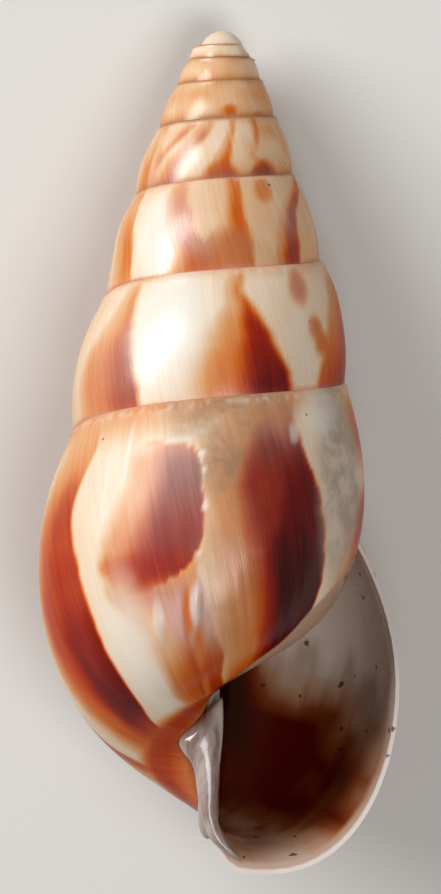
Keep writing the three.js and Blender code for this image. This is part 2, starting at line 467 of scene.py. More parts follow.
@dataclass(frozen=True)
class Survey:
    """Outside of the coiled wall on a grid of rings by places."""

    turn: Array
    section: Array
    normal: Array
    down: Array
    fall: Array
    along: Array
    seam: Array

    @classmethod
    def of(cls, growth: Growth, turn: Array, counts: tuple[int, int, int]) -> "Survey":
        """Measure the smooth wall.

        The fall is the length along the section from the suture, and down is the fall as a
        share of the radius. Along is the length of the coil from the lip, at the widest place,
        slanted back by a share of the fall as the growth lines are. The seam is the height
        above the next suture as a share of the radius.

        Args:
            growth: Law of the coil.
            turn: Turn of each ring, by rising turn.
            counts: Places on the shoulder, the flank and the base.

        Returns:
            Survey with one row per ring.
        """
        section = growth.outline(turn, *counts)
        tangent = np.gradient(section[:, 1:], axis=1)
        tangent = np.concatenate([tangent[:, :1], tangent], axis=1)
        tangent /= np.maximum(np.linalg.norm(tangent, axis=-1, keepdims=True), 1e-9)
        normal = np.stack([-tangent[..., 1], tangent[..., 0]], axis=-1)
        step = np.linalg.norm(np.diff(section[:, 1:], axis=1), axis=-1)
        fall = np.pad(np.cumsum(step, axis=1), ((0, 0), (2, 0)))
        radius = growth.radius(turn)
        pace = 2.0 * math.pi * 0.5 * (radius[1:] + radius[:-1]) * np.diff(turn)
        along = np.concatenate([[0.0], np.cumsum(pace)])
        straight = smoothstep(0.0, growth.line_slant_fade, -turn)[:, None]
        along = (along - along[-1])[:, None] + growth.line_slant * fall * straight
        seam = (section[..., 1] - growth.suture(turn + 1.0)[:, None]) / radius[:, None]
        seam = np.where(turn[:, None] < -1.0, seam, 1.0)
        return cls(turn, section, normal, fall / radius[:, None], fall, along, seam)

    @property
    def turns(self) -> Array:
        """Turn of every place."""
        return np.broadcast_to(self.turn[:, None], self.down.shape)

    def noise(self, grain: Grain, cells: Cells) -> Array:
        """Noise in cells along and down the whorl."""
        return cells.gain * grain.at(self.along / cells.along + cells.shift, self.fall / cells.fall)

    def bends(self, grain: Grain, cells: Cells) -> Array:
        """Noise in cells down and along the whorl, for the bends of an edge across it."""
        return cells.gain * grain.at(self.fall / cells.fall + cells.shift, self.along / cells.along)


@dataclass(frozen=True)
class Flame:
    """Dark stripe across a whorl, sharp on its older side and fading to its newer side.

    The curves are by down. The edge is the turn of the sharp side. From there the pigment keeps its
    depth for the hold share of the fade, falls to the tone where the fade ends and to nothing where
    the tail ends, both in turns. The bloom is the share of lilac, and crisp is half the edge's width.
    """

    edge: Knots
    fade: Knots
    tail: Knots
    depth: Knots
    tone: Knots
    bloom: Knots = ((0.0, 0.0), (1.0, 0.0))
    hold: float = 0.4
    crisp: float = 0.004
    bloom_loss: float = 0.7
    margin: float = 0.03

    def reach(self) -> tuple[float, float]:
        """Turns between which the flame lies."""
        edge = [value for _, value in self.edge]
        return min(edge) - self.margin, max(edge) + max(value for _, value in self.tail) + self.margin

    def paint(self, turn: Array, down: Array) -> tuple[Array, Array]:
        """Pigment and lilac: a ramp at the edge, a plateau and two ramps down.

        Args:
            turn: Turns of the places.
            down: Down values of the places.

        Returns:
            Pigment and lilac of the shape of down.
        """
        behind = turn - through(self.edge, down)
        fade, tail = through(self.fade, down), through(self.tail, down)
        depth, tone = through(self.depth, down), through(self.tone, down)
        rise = smoothstep(-self.crisp, self.crisp, behind)
        first = smoothstep(0.0, 1.0, (behind / fade - self.hold) / (1.0 - self.hold))
        second = smoothstep(0.0, 1.0, (behind - fade) / (tail - fade))
        pigment = rise * (depth + (np.minimum(tone, depth) - depth) * first) * (1.0 - second)
        lilac = rise * (1.0 - self.bloom_loss * first) * (1.0 - second) * through(self.bloom, down)
        return pigment, lilac


@dataclass(frozen=True)
class Stain:
    """Soft spot on the wall that sets some of its pigment, lilac, chalk, dull film and wear; some spots of
    chalk are painted highlights and glints.
    """

    turn: float
    down: float
    width: float
    height: float
    pigment: float | None = None
    bloom: float | None = None
    chalk_and_glint: float | None = None
    dull: float | None = None
    wear: float | None = None
    flat: float = 0.05
    rim: float = 1.7

    def share(self, turn: Array, down: Array) -> Array:
        """Hump that is flat in the middle and fades at the rim."""
        away = ((turn - self.turn) / self.width) ** 2 + ((down - self.down) / self.height) ** 2
        return 1.0 - smoothstep(self.flat, self.rim, away)


@dataclass(frozen=True)
class HiddenFlames:
    """Seeded flames for the sides away from the mouth, with the slant and spacing of the others.

    The starts are turns on each whorl, and the strengths are by whorl, from the last one back.
    """

    starts: tuple[float, ...] = (-0.06, -0.19, -0.31, -0.43)
    strengths: tuple[float, ...] = (1.0, 0.95, 0.8, 0.6, 0.4)
    weakest: float = 0.85
    scatter: float = 0.012
    widths: Span = (0.06, 0.09)
    lilacs: Span = (0.2, 0.6)
    slant: Knots = ((0.0, 0.0), (0.6, -0.022), (1.3, -0.04), (2.0, -0.03))
    taper: Knots = ((0.0, 0.5), (0.5, 0.8), (1.2, 1.0), (2.2, 0.8))
    tail: float = 0.045
    depth: Knots = ((0.0, 0.3), (0.4, 0.6), (0.9, 0.8), (1.5, 0.92), (2.1, 0.6), (2.6, 0.5))
    tone: Knots = ((0.0, 0.25), (0.8, 0.4), (2.0, 0.42))

    def flames(self, seed: int) -> list[Flame]:
        """Draw the flames.

        Args:
            seed: Seed of the draws.

        Returns:
            Flames of all the whorls.
        """
        draw = np.random.default_rng(seed)
        flames = []
        for whorl, strength in enumerate(self.strengths):
            for start in self.starts:
                at = start - whorl + draw.uniform(-self.scatter, self.scatter)
                pale = strength * draw.uniform(self.weakest, 1.0)
                fade = scaled(self.taper, draw.uniform(*self.widths))
                bloom = ((0.0, 0.2), (0.4, draw.uniform(*self.lilacs)), (0.8, 0.1), (1.0, 0.0), (2.6, 0.0))
                flame = Flame(
                    edge=scaled(self.slant, plus=at),
                    fade=fade,
                    tail=scaled(fade, plus=self.tail),
                    depth=scaled(self.depth, pale),
                    tone=scaled(self.tone, pale),
                    bloom=bloom,
                )
                flames.append(flame)
        return flames


@dataclass(frozen=True)
class Weathering:
    """What gathers at the sutures, on the small whorls and on the base, with painted shade above the sutures
    of the small whorls.

    The small whorls are those so many turns before the lip, and the base is by down.
    """

    small: Span = (2.2, 4.2)
    seam_width: float = 0.014
    seam_widening: float = 0.05
    suture_width: float = 0.012
    suture_widening: float = 0.06
    seam_pigment: float = 0.44
    seam_film: float = 0.7
    seam_lilac: float = 0.6
    blotches: float = 0.09
    blotch_cells: Cells = Cells(0.8, 0.9, shift=7.0)
    # Painted shade above the next suture on the small whorls, and its width.
    suture_shade: float = 0.13
    suture_shade_width: float = 0.15
    mottling: float = 0.018
    base: Span = (2.0, 2.15)
    base_turns: Span = (-0.84, -0.74)
    base_pigment: float = 0.64
    low_base: Span = (2.2, 2.35)
    low_base_paling: float = 0.16
    low_base_lilac: float = 0.15
    dash_chalk: float = 0.28
    dash_cells: Cells = Cells(0.22, 0.3)
    dash_level: Span = (-0.2, 0.6)
    dash_down: float = 0.04
    dash_width: float = 0.025

    def age(
        self, survey: Survey, layers: dict[str, Array], coarse: Grain, fine: Grain, mottle: Array
    ) -> None:
        """Deepen the pattern: brown sutures, blotched small whorls with painted shade above their sutures, an
        orange base and chalky dashes.

        Args:
            survey: Places of the wall.
            layers: Pigment, lilac, chalk and painted glints, and dull film, which are changed.
            coarse: Noise of the blotches.
            fine: Noise of the dashes.
            mottle: Soft mottling of the wall.
        """
        turn, down = survey.turns, survey.down
        small = smoothstep(*self.small, -turn)
        seam = bell(survey.seam, self.seam_width + self.seam_widening * small)
        seam = np.clip(seam + bell(down, self.suture_width + self.suture_widening * small), 0.0, 1.0)
        blotch_and_shade = self.blotches * small * survey.noise(coarse, self.blotch_cells)
        # Painted shade along the bottom of each small whorl, above the next suture.
        blotch_and_shade = blotch_and_shade + self.suture_shade * small * bell(survey.seam, self.suture_shade_width)
        base = smoothstep(*self.base, down) * smoothstep(*self.base_turns, turn)
        low_base = smoothstep(*self.low_base, down)
        base = base * (self.base_pigment - self.low_base_paling * low_base)
        pigment = np.maximum(np.maximum(layers["pigment"] + blotch_and_shade, base), self.seam_pigment * seam)
        layers["pigment"] = pigment + self.mottling * mottle
        layers["dull"] = np.maximum(layers["dull"], self.seam_film * seam * small)
        lilac = np.maximum(self.seam_lilac * seam * (1.0 - small), self.low_base_lilac * low_base)
        layers["bloom"] = np.maximum(layers["bloom"], lilac)
        dashes = smoothstep(*self.dash_level, survey.noise(fine, self.dash_cells)) * (1.0 - small)
        dashes = self.dash_chalk * dashes * bell(down - self.dash_down, self.dash_width)
        layers["chalk_and_glint"] = np.maximum(layers["chalk_and_glint"], dashes)


@dataclass(frozen=True)
class BrowningAndShade:
    """How far the lining has browned and darkened in painted shade, from 0 at the lip to 1 in the dark hollow
    beside the pillar.

    The wall of the whorl before, on which the mouth opens, browns and darkens in painted shadow by its own
    turns and has a corner of chalky crumbs.
    """

    per_turn: float = 2.5
    lag: float = 0.05
    per_down: float = 1.3
    down_start: float = 0.97
    down_span: float = 0.36
    mottling: float = 0.05
    patches: float = 0.17
    large_patches: Cells = Cells(1.7, 1.5, shift=5.0)
    small_patches: Cells = Cells(0.7, 0.8, gain=0.6)
    foot: Span = (1.6, 2.05)
    foot_paling: float = 0.5
    lip_ease: float = 0.016
    lip_ease_per_down: float = 0.01
    lower: Span = (0.75, 1.15)
    lower_brown: float = 0.14
    most: float = 0.9
    hollow_shadow: Span = (0.193, 0.222)
    hollow_shadow_foot: Span = (1.3, 1.6)
    lining_end: float = -0.6
    inner_wall: Span = (-0.84, -0.76)
    inner_wall_brown_and_shade: Span = (0.25, 0.75)
    crumbs: float = 0.6
    large_crumbs: Cells = Cells(0.6, 0.5)
    small_crumbs: Cells = Cells(0.19, 0.23)
    crumb_level: Span = (-0.1, 0.9)
    crumb_place: Span = (-0.965, 1.27)
    crumb_spread: Span = (0.035, 0.12)

    def lining(self, survey: Survey, coarse: Grain, fine: Grain, mottle: Array) -> Array:
        """Brown that rises inwards and downwards in patches, partly real browning and partly painted shade,
        paler at the foot and the lip.

        Args:
            survey: Places of the wall.
            coarse: Noise of the large patches.
            fine: Noise of the small patches.
            mottle: Soft mottling of the wall.

        Returns:
            Brown and painted shade of rings by places.
        """
        turn, down = survey.turns, survey.down
        patches = survey.noise(coarse, self.large_patches) + survey.noise(fine, self.small_patches)
        # Brown rises inwards and downwards: partly the lining's own browning, partly painted shade of the
        # deep mouth.
        brown_and_shade = -self.per_turn * turn - self.lag
        brown_and_shade = brown_and_shade + self.per_down * np.minimum(down - self.down_start, self.down_span)
        brown_and_shade = brown_and_shade + self.mottling * mottle + self.patches * patches
        brown_and_shade = brown_and_shade - self.foot_paling * smoothstep(*self.foot, down)
        # The ease from the pale lip is narrow, so the lining darkens close inside the lip: painted shade.
        ease = self.lip_ease + self.lip_ease_per_down * down
        brown_and_shade = np.maximum(brown_and_shade, 0.0) * smoothstep(0.0, ease, -turn)
        brown_and_shade = np.minimum(brown_and_shade + self.lower_brown * smoothstep(*self.lower, down), self.most)
        # Painted shadow in the hollow beside the pillar, under the edge of the whorl before.
        hollow_shadow = smoothstep(*self.hollow_shadow, -turn) * (1.0 - smoothstep(*self.hollow_shadow_foot, down))
        return brown_and_shade + hollow_shadow * (1.0 - brown_and_shade)

    def whorl_before(self, survey: Survey, coarse: Grain, fine: Grain) -> Array:
        """Brown of the wall on which the mouth opens, darkening towards the pillar in painted shadow.

        Args:
            survey: Places of the wall.
            coarse: Noise of the large crumbs.
            fine: Noise of the small crumbs.

        Returns:
            Brown and painted shadow of rings by places.
        """
        turn, down = survey.turns, survey.down
        least, gain = self.inner_wall_brown_and_shade
        crumbs = survey.noise(fine, self.small_crumbs) + survey.noise(coarse, self.large_crumbs)
        crumbs = self.crumbs * smoothstep(*self.crumb_level, crumbs)
        across = bell(turn - self.crumb_place[0], self.crumb_spread[0])
        crumbs = crumbs * across * bell(down - self.crumb_place[1], self.crumb_spread[1])
        # Darkens towards the pillar in painted shadow; the crumbs are dirt.
        return least + gain * smoothstep(*self.inner_wall, turn) + crumbs

    def share(self, survey: Survey, coarse: Grain, fine: Grain, mottle: Array) -> Array:
        """Brown and painted shade of the lining, and of the whorl before where the lining ends."""
        lining = self.lining(survey, coarse, fine, mottle)
        return np.where(survey.turns > self.lining_end, lining, self.whorl_before(survey, coarse, fine))


@dataclass(frozen=True)
class Markings:
    """Colour pattern of the wall: flames and stains, some of them painted highlights and glints, over a cream
    ground, weathering, and browning with painted shade in the mouth.

    The bends of the flames' edges are turns.
    """

    flames: tuple[Flame, ...]
    stains: tuple[Stain, ...]
    ground: Knots
    shoulder_tone: Knots
    shoulder_depth: Knots
    glaze_line: Knots
    glaze_edge: Span = (-0.02, 0.03)
    small_bends: Cells = Cells(2.5, 0.5, gain=0.0016)
    large_bends: Cells = Cells(5.0, 2.2, gain=0.002)
    mottles: tuple[Cells, ...] = (Cells(0.9, 3.5), Cells(0.35, 2.0, shift=31.0))
    hidden: HiddenFlames = HiddenFlames()
    weathering: Weathering = Weathering()
    browning_and_shade: BrowningAndShade = BrowningAndShade()
    seed: int = 11

    def cream(self, survey: Survey) -> Array:
        """Pigment of the ground, which darkens towards the suture.

        Args:
            survey: Places of the wall.

        Returns:
            Pigment of rings by places.
        """
        turn = survey.turns
        near = 1.0 - smoothstep(0.0, 1.0, survey.down / through(self.shoulder_depth, turn))
        ground = through(self.ground, turn)
        return ground + np.maximum(through(self.shoulder_tone, turn) - ground, 0.0) * near

    def pattern(self, survey: Survey, coarse: Grain, fine: Grain) -> dict[str, Array]:
        """Flames and stains, whose edges wander a little. Where flames meet, the darker one shows.

        Args:
            survey: Places of the wall.
            coarse: Noise of the large bends of the edges.
            fine: Noise of the small bends of the edges.

        Returns:
            Pigment, lilac, chalk and painted glints, dull film and wear by name.
        """
        down = survey.down
        wander = survey.bends(fine, self.small_bends) + survey.bends(coarse, self.large_bends)
        turn = survey.turns + wander
        layers = {name: np.zeros(down.shape) for name in ("pigment", "bloom", "chalk_and_glint", "dull", "wear")}
        layers["pigment"] = self.cream(survey)
        for flame in (*self.flames, *self.hidden.flames(self.seed)):
            rows = slice(*np.searchsorted(survey.turn, flame.reach()))
            pigment, bloom = flame.paint(turn[rows], down[rows])
            layers["bloom"][rows] = np.maximum(layers["bloom"][rows], bloom)
            layers["pigment"][rows] = np.maximum(layers["pigment"][rows], pigment)
        for stain in self.stains:
            share = stain.share(turn, down)
            for name, layer in layers.items():
                if getattr(stain, name) is not None:
                    layer += share * (getattr(stain, name) - layer)
        return layers

    def paint(self, survey: Survey) -> dict[str, Array]:
        """Colour values of the wall, each from 0 to about 1.

        Args:
            survey: Places of the wall.

        Returns:
            Pigment, lilac, chalk and painted glints, dull film, wear, brown and painted shade of the lining,
            and glaze by name.
        """
        coarse, fine = Grain(self.seed), Grain(self.seed + 1)
        mottle = sum(survey.noise(coarse, cells) for cells in self.mottles)
        layers = self.pattern(survey, coarse, fine)
        self.weathering.age(survey, layers, coarse, fine, mottle)
        layers["brown_and_shade"] = self.browning_and_shade.share(survey, coarse, fine, mottle)
        layers["glaze"] = smoothstep(*self.glaze_edge, survey.down - through(self.glaze_line, survey.turns))
        return layers


FRONT_FLAMES = (
    # Last whorl, from the right outline to the left one.
    Flame(
        edge=((0.0, -1.02), (1.6, -1.02)),
        fade=((0.1, 0.075), (0.25, 0.09), (0.4, 0.08), (0.5, 0.06), (0.62, 0.035), (0.8, 0.085), (1.1, 0.09)),
        tail=((0.1, 0.1), (0.25, 0.11), (0.5, 0.085), (0.62, 0.07), (0.8, 0.11), (1.1, 0.12)),
        depth=(
            (0.04, 0.2), (0.15, 0.44), (0.25, 0.5), (0.36, 0.57), (0.5, 0.38), (0.62, 0.25), (0.75, 0.55),
            (0.95, 0.68), (1.1, 0.55), (1.3, 0.5),
        ),
        tone=((0.0, 0.28), (1.6, 0.3)),
        hold=0.75,
    ),
    Flame(
        edge=(
            (0.0, -0.85), (0.15, -0.842), (0.25, -0.843), (0.35, -0.848), (0.5, -0.857), (0.65, -0.866),
            (0.8, -0.873), (1.1, -0.883), (1.4, -0.889), (1.7, -0.886), (2.6, -0.88),
        ),
        fade=(
            (0.0, 0.05), (0.2, 0.065), (0.35, 0.072), (0.5, 0.082), (0.8, 0.098), (1.1, 0.108), (1.3, 0.103),
            (1.5, 0.095), (1.7, 0.08), (1.9, 0.07),
        ),
        tail=((0.0, 0.1), (0.35, 0.15), (0.9, 0.165), (1.5, 0.175), (1.9, 0.16)),
        depth=(
            (0.0, 0.33), (0.15, 0.42), (0.25, 0.54), (0.35, 0.68), (0.5, 0.83), (0.8, 0.9), (1.1, 0.98),
            (1.3, 1.0), (1.5, 0.97), (1.7, 0.93), (1.9, 0.85), (2.6, 0.7),
        ),
        tone=((0.0, 0.26), (0.35, 0.36), (0.65, 0.4), (1.1, 0.42), (1.5, 0.42), (1.9, 0.52)),
        bloom=(
            (0.0, 0.15), (0.15, 0.35), (0.25, 0.6), (0.35, 0.7), (0.45, 0.4), (0.55, 0.12), (0.7, 0.0),
            (2.6, 0.0),
        ),
        hold=0.5,
    ),
    Flame(
        edge=SCAR,
        fade=(
            (0.26, 0.03), (0.3, 0.045), (0.36, 0.056), (0.5, 0.064), (0.65, 0.076), (0.8, 0.086),
            (0.9, 0.093), (1.0, 0.094), (1.06, 0.08), (1.1, 0.066), (1.16, 0.04), (1.2, 0.03),
        ),
        tail=(
            (0.26, 0.05), (0.3, 0.07), (0.36, 0.085), (0.5, 0.094), (0.65, 0.108), (1.0, 0.112),
            (1.06, 0.1), (1.1, 0.086), (1.16, 0.06), (1.2, 0.045),
        ),
        depth=(
            (0.22, 0.0), (0.26, 0.2), (0.3, 0.38), (0.36, 0.48), (0.5, 0.58), (0.65, 0.63), (0.8, 0.69),
            (1.0, 0.74), (1.07, 0.73), (1.13, 0.58), (1.2, 0.34), (1.28, 0.0),
        ),
        tone=(
            (0.22, 0.0), (0.3, 0.15), (0.36, 0.26), (0.5, 0.27), (0.65, 0.28), (0.8, 0.36), (0.9, 0.38),
            (0.97, 0.5), (1.07, 0.5), (1.13, 0.4), (1.2, 0.3), (1.28, 0.0),
        ),
        bloom=(
            (0.2, 0.0), (0.25, 0.2), (0.3, 0.6), (0.36, 0.85), (0.5, 0.95), (0.65, 0.75), (0.8, 0.5),
            (0.9, 0.35), (0.98, 0.05), (1.1, 0.05), (1.2, 0.3),
        ),
        hold=0.45,
        crisp=0.003,
    ),
    Flame(
        edge=(
            (0.95, -0.739), (1.1, -0.737), (1.3, -0.748), (1.5, -0.757), (1.7, -0.768), (1.9, -0.772),
            (2.05, -0.782), (2.6, -0.79),
        ),
        fade=((1.0, 0.09), (1.2, 0.096), (1.35, 0.075), (1.8, 0.075), (2.05, 0.085)),
        tail=((1.0, 0.11), (1.2, 0.11), (1.8, 0.097), (2.05, 0.11)),
        depth=(
            (0.92, 0.0), (1.0, 0.26), (1.1, 0.36), (1.2, 0.4), (1.3, 0.33), (1.45, 0.36), (1.55, 0.45),
            (1.7, 0.58), (1.9, 0.62), (2.6, 0.6),
        ),
        tone=(
            (0.92, 0.0), (1.0, 0.2), (1.1, 0.32), (1.2, 0.34), (1.3, 0.24), (1.5, 0.22), (1.8, 0.46),
            (2.1, 0.46),
        ),
        bloom=(
            (0.95, 0.0), (1.1, 0.1), (1.2, 0.6), (1.3, 0.95), (1.48, 0.9), (1.6, 0.3), (1.75, 0.0),
            (2.6, 0.0),
        ),
        hold=0.45,
        crisp=0.004,
    ),
    Flame(
        edge=(
            (0.0, -0.612), (0.25, -0.611), (0.35, -0.606), (0.5, -0.596), (0.65, -0.592), (0.8, -0.597),
            (0.95, -0.603), (1.1, -0.608), (1.3, -0.615), (1.7, -0.622), (1.9, -0.618), (2.05, -0.604),
            (2.6, -0.6),
        ),
        fade=(
            (0.0, 0.04), (0.5, 0.042), (0.8, 0.052), (0.95, 0.062), (1.3, 0.075), (1.7, 0.078),
            (2.05, 0.07),
        ),
        tail=((0.0, 0.11), (0.5, 0.13), (1.3, 0.15), (2.05, 0.15)),
        depth=(
            (0.0, 0.3), (0.25, 0.34), (0.35, 0.4), (0.5, 0.56), (0.65, 0.62), (0.8, 0.62), (0.95, 0.68),
            (1.1, 0.68), (1.3, 0.78), (1.5, 0.82), (1.7, 0.88), (1.9, 0.87), (2.05, 0.66), (2.2, 0.52),
            (2.6, 0.45),
        ),
        tone=((0.0, 0.28), (0.35, 0.34), (0.55, 0.48), (2.0, 0.5), (2.6, 0.44)),
        bloom=((0.0, 0.05), (0.25, 0.1), (0.45, 0.2), (0.7, 0.1), (0.9, 0.0), (2.6, 0.0)),
        hold=0.5,
    ),
    # Whorl before.
    Flame(
        edge=((0.0, -1.628), (0.2, -1.635), (0.45, -1.643), (0.65, -1.65), (0.85, -1.656), (1.05, -1.66)),
        fade=((0.0, 0.015), (0.2, 0.022), (0.4, 0.035), (0.55, 0.06), (0.75, 0.075), (1.05, 0.08)),
        tail=((0.0, 0.035), (0.2, 0.045), (0.4, 0.085), (0.6, 0.12), (1.05, 0.14)),
        depth=((0.0, 0.28), (0.2, 0.37), (0.45, 0.46), (0.6, 0.53), (0.8, 0.58), (0.95, 0.62), (1.05, 0.55)),
        tone=((0.0, 0.2), (0.4, 0.27), (0.6, 0.36), (1.05, 0.4)),
        bloom=((0.0, 0.0), (0.3, 0.15), (0.5, 0.5), (0.75, 0.6), (0.95, 0.45), (1.1, 0.3)),
        hold=0.15,
        crisp=0.006,
    ),
    Flame(
        edge=(
            (0.0, -1.783), (0.25, -1.785), (0.32, -1.793), (0.45, -1.807), (0.55, -1.817), (0.7, -1.828),
            (0.85, -1.84), (1.05, -1.85),
        ),
        fade=((0.0, 0.018), (0.3, 0.022), (0.45, 0.036), (0.6, 0.05), (0.85, 0.076), (1.05, 0.085)),
        tail=((0.0, 0.035), (0.3, 0.045), (0.45, 0.09), (0.65, 0.125), (1.05, 0.16)),
        depth=(
            (0.0, 0.36), (0.25, 0.48), (0.36, 0.6), (0.45, 0.72), (0.6, 0.77), (0.75, 0.82), (0.85, 0.86),
            (0.94, 0.87), (1.05, 0.7),
        ),
        tone=((0.0, 0.25), (0.3, 0.3), (0.45, 0.36), (0.7, 0.44), (1.05, 0.46)),
        hold=0.4,
        crisp=0.009,
    ),
    Flame(
        edge=((0.0, -2.02), (1.05, -2.02)),
        fade=(
            (0.0, 0.03), (0.15, 0.065), (0.35, 0.078), (0.55, 0.095), (0.75, 0.112), (0.85, 0.122),
            (1.05, 0.13),
        ),
        tail=((0.0, 0.06), (0.15, 0.09), (0.35, 0.11), (0.55, 0.125), (0.85, 0.14), (1.05, 0.145)),
        depth=((0.0, 0.2), (0.15, 0.48), (0.35, 0.6), (0.55, 0.64), (0.75, 0.7), (0.9, 0.78), (1.05, 0.75)),
        tone=((0.0, 0.2), (0.15, 0.32), (0.5, 0.42), (0.8, 0.52), (1.05, 0.58)),
        hold=0.35,
    ),
    # Third whorl from the mouth.
    Flame(
        edge=((0.0, -2.58), (0.2, -2.588), (0.5, -2.592), (0.95, -2.598)),
        fade=((0.0, 0.035), (0.4, 0.04), (0.95, 0.045)),
        tail=((0.0, 0.08), (0.95, 0.09)),
        depth=((0.0, 0.38), (0.15, 0.3), (0.4, 0.38), (0.6, 0.44), (0.8, 0.42), (0.95, 0.36)),
        tone=((0.0, 0.3), (0.95, 0.28)),
    ),
    Flame(
        edge=((0.0, -2.69), (0.2, -2.695), (0.4, -2.708), (0.6, -2.715), (0.7, -2.73), (0.95, -2.735)),
        fade=((0.0, 0.03), (0.5, 0.042), (0.75, 0.052), (0.95, 0.056)),
        tail=((0.0, 0.046), (0.5, 0.06), (0.95, 0.08)),
        depth=((0.0, 0.28), (0.25, 0.38), (0.5, 0.38), (0.7, 0.43), (0.85, 0.52), (0.95, 0.48)),
        tone=((0.0, 0.22), (0.3, 0.32), (0.95, 0.36)),
        bloom=((0.0, 0.1), (0.3, 0.6), (0.7, 0.6), (0.85, 0.25), (1.0, 0.1)),
        hold=0.6,
        crisp=0.008,
    ),
    Flame(
        edge=((0.0, -2.79), (0.3, -2.793), (0.65, -2.8), (0.95, -2.803)),
        fade=((0.0, 0.04), (0.4, 0.04), (0.55, 0.048), (0.7, 0.075), (0.95, 0.085)),
        tail=((0.0, 0.058), (0.4, 0.06), (0.6, 0.08), (0.95, 0.12)),
        depth=((0.0, 0.4), (0.2, 0.48), (0.4, 0.54), (0.65, 0.5), (0.95, 0.47)),
        tone=((0.0, 0.22), (0.55, 0.28), (0.75, 0.44), (0.95, 0.46)),
        crisp=0.008,
    ),
    Flame(
        edge=(
            (0.0, -2.985), (0.1, -2.972), (0.2, -2.95), (0.3, -2.927), (0.4, -2.908), (0.55, -2.898),
            (0.75, -2.894), (0.95, -2.892),
        ),
        fade=((0.0, 0.05), (0.2, 0.05), (0.45, 0.042), (0.75, 0.048), (0.95, 0.05)),
        tail=((0.0, 0.08), (0.2, 0.075), (0.45, 0.065), (0.95, 0.075)),
        depth=((0.0, 0.36), (0.15, 0.5), (0.3, 0.56), (0.45, 0.56), (0.65, 0.6), (0.75, 0.68), (0.95, 0.68)),
        tone=((0.0, 0.22), (0.95, 0.34)),
        bloom=((0.0, 0.0), (0.2, 0.1), (0.35, 0.45), (0.5, 0.65), (0.65, 0.35), (0.75, 0.0), (1.0, 0.0)),
        hold=0.45,
        crisp=0.009,
    ),
    Flame(
        edge=((0.0, -3.02), (0.9, -3.02)),
        fade=((0.0, 0.02), (0.4, 0.035), (0.7, 0.055), (0.95, 0.06)),
        tail=((0.0, 0.04), (0.4, 0.06), (0.95, 0.08)),
        depth=((0.0, 0.3), (0.2, 0.15), (0.45, 0.36), (0.65, 0.5), (0.95, 0.55)),
        tone=((0.0, 0.2), (0.95, 0.3)),
    ),
    # Fourth whorl from the mouth.
    Flame(
        edge=((0.0, -3.6), (0.4, -3.59), (0.85, -3.582)),
        fade=((0.0, 0.03), (0.85, 0.04)),
        tail=((0.0, 0.06), (0.85, 0.07)),
        depth=((0.0, 0.26), (0.4, 0.3), (0.6, 0.4), (0.9, 0.42)),
        tone=((0.0, 0.26), (0.9, 0.32)),
        crisp=0.008,
    ),
    Flame(
        edge=((0.1, -3.69), (0.3, -3.66), (0.5, -3.63), (0.7, -3.61)),
        fade=((0.1, 0.03), (0.7, 0.032)),
        tail=((0.1, 0.052), (0.7, 0.052)),
        depth=((0.1, 0.32), (0.3, 0.42), (0.55, 0.38), (0.7, 0.28), (0.85, 0.22)),
        tone=((0.0, 0.24), (0.9, 0.24)),
        bloom=((0.0, 0.3), (0.9, 0.5)),
        crisp=0.014,
    ),
    Flame(
        edge=((0.1, -3.74), (0.3, -3.722), (0.5, -3.693), (0.65, -3.675), (0.85, -3.66)),
        fade=((0.1, 0.034), (0.85, 0.04)),
        tail=((0.1, 0.055), (0.85, 0.066)),
        depth=((0.1, 0.34), (0.3, 0.45), (0.6, 0.42), (0.85, 0.38)),
        tone=((0.0, 0.24), (0.9, 0.26)),
        bloom=((0.0, 0.15), (0.5, 0.6), (0.9, 0.6)),
        crisp=0.014,
    ),
    Flame(
        edge=((0.05, -3.792), (0.2, -3.79), (0.35, -3.782), (0.6, -3.775), (0.85, -3.775)),
        fade=((0.05, 0.016), (0.35, 0.018), (0.6, 0.03), (0.85, 0.042)),
        tail=((0.05, 0.028), (0.35, 0.035), (0.6, 0.05), (0.85, 0.065)),
        depth=((0.05, 0.42), (0.2, 0.46), (0.35, 0.38), (0.5, 0.48), (0.75, 0.54), (0.85, 0.56)),
        tone=((0.0, 0.28), (0.9, 0.34)),
        crisp=0.008,
    ),
    Flame(
        edge=((0.1, -3.855), (0.3, -3.85), (0.45, -3.845), (0.6, -3.84), (0.7, -3.86), (0.85, -3.865)),
        fade=((0.1, 0.025), (0.45, 0.02), (0.6, 0.02), (0.85, 0.045)),
        tail=((0.1, 0.04), (0.6, 0.035), (0.85, 0.065)),
        depth=((0.1, 0.42), (0.35, 0.48), (0.5, 0.34), (0.6, 0.36), (0.75, 0.54), (0.85, 0.6)),
        tone=((0.0, 0.26), (0.9, 0.34)),
        crisp=0.008,
    ),
)

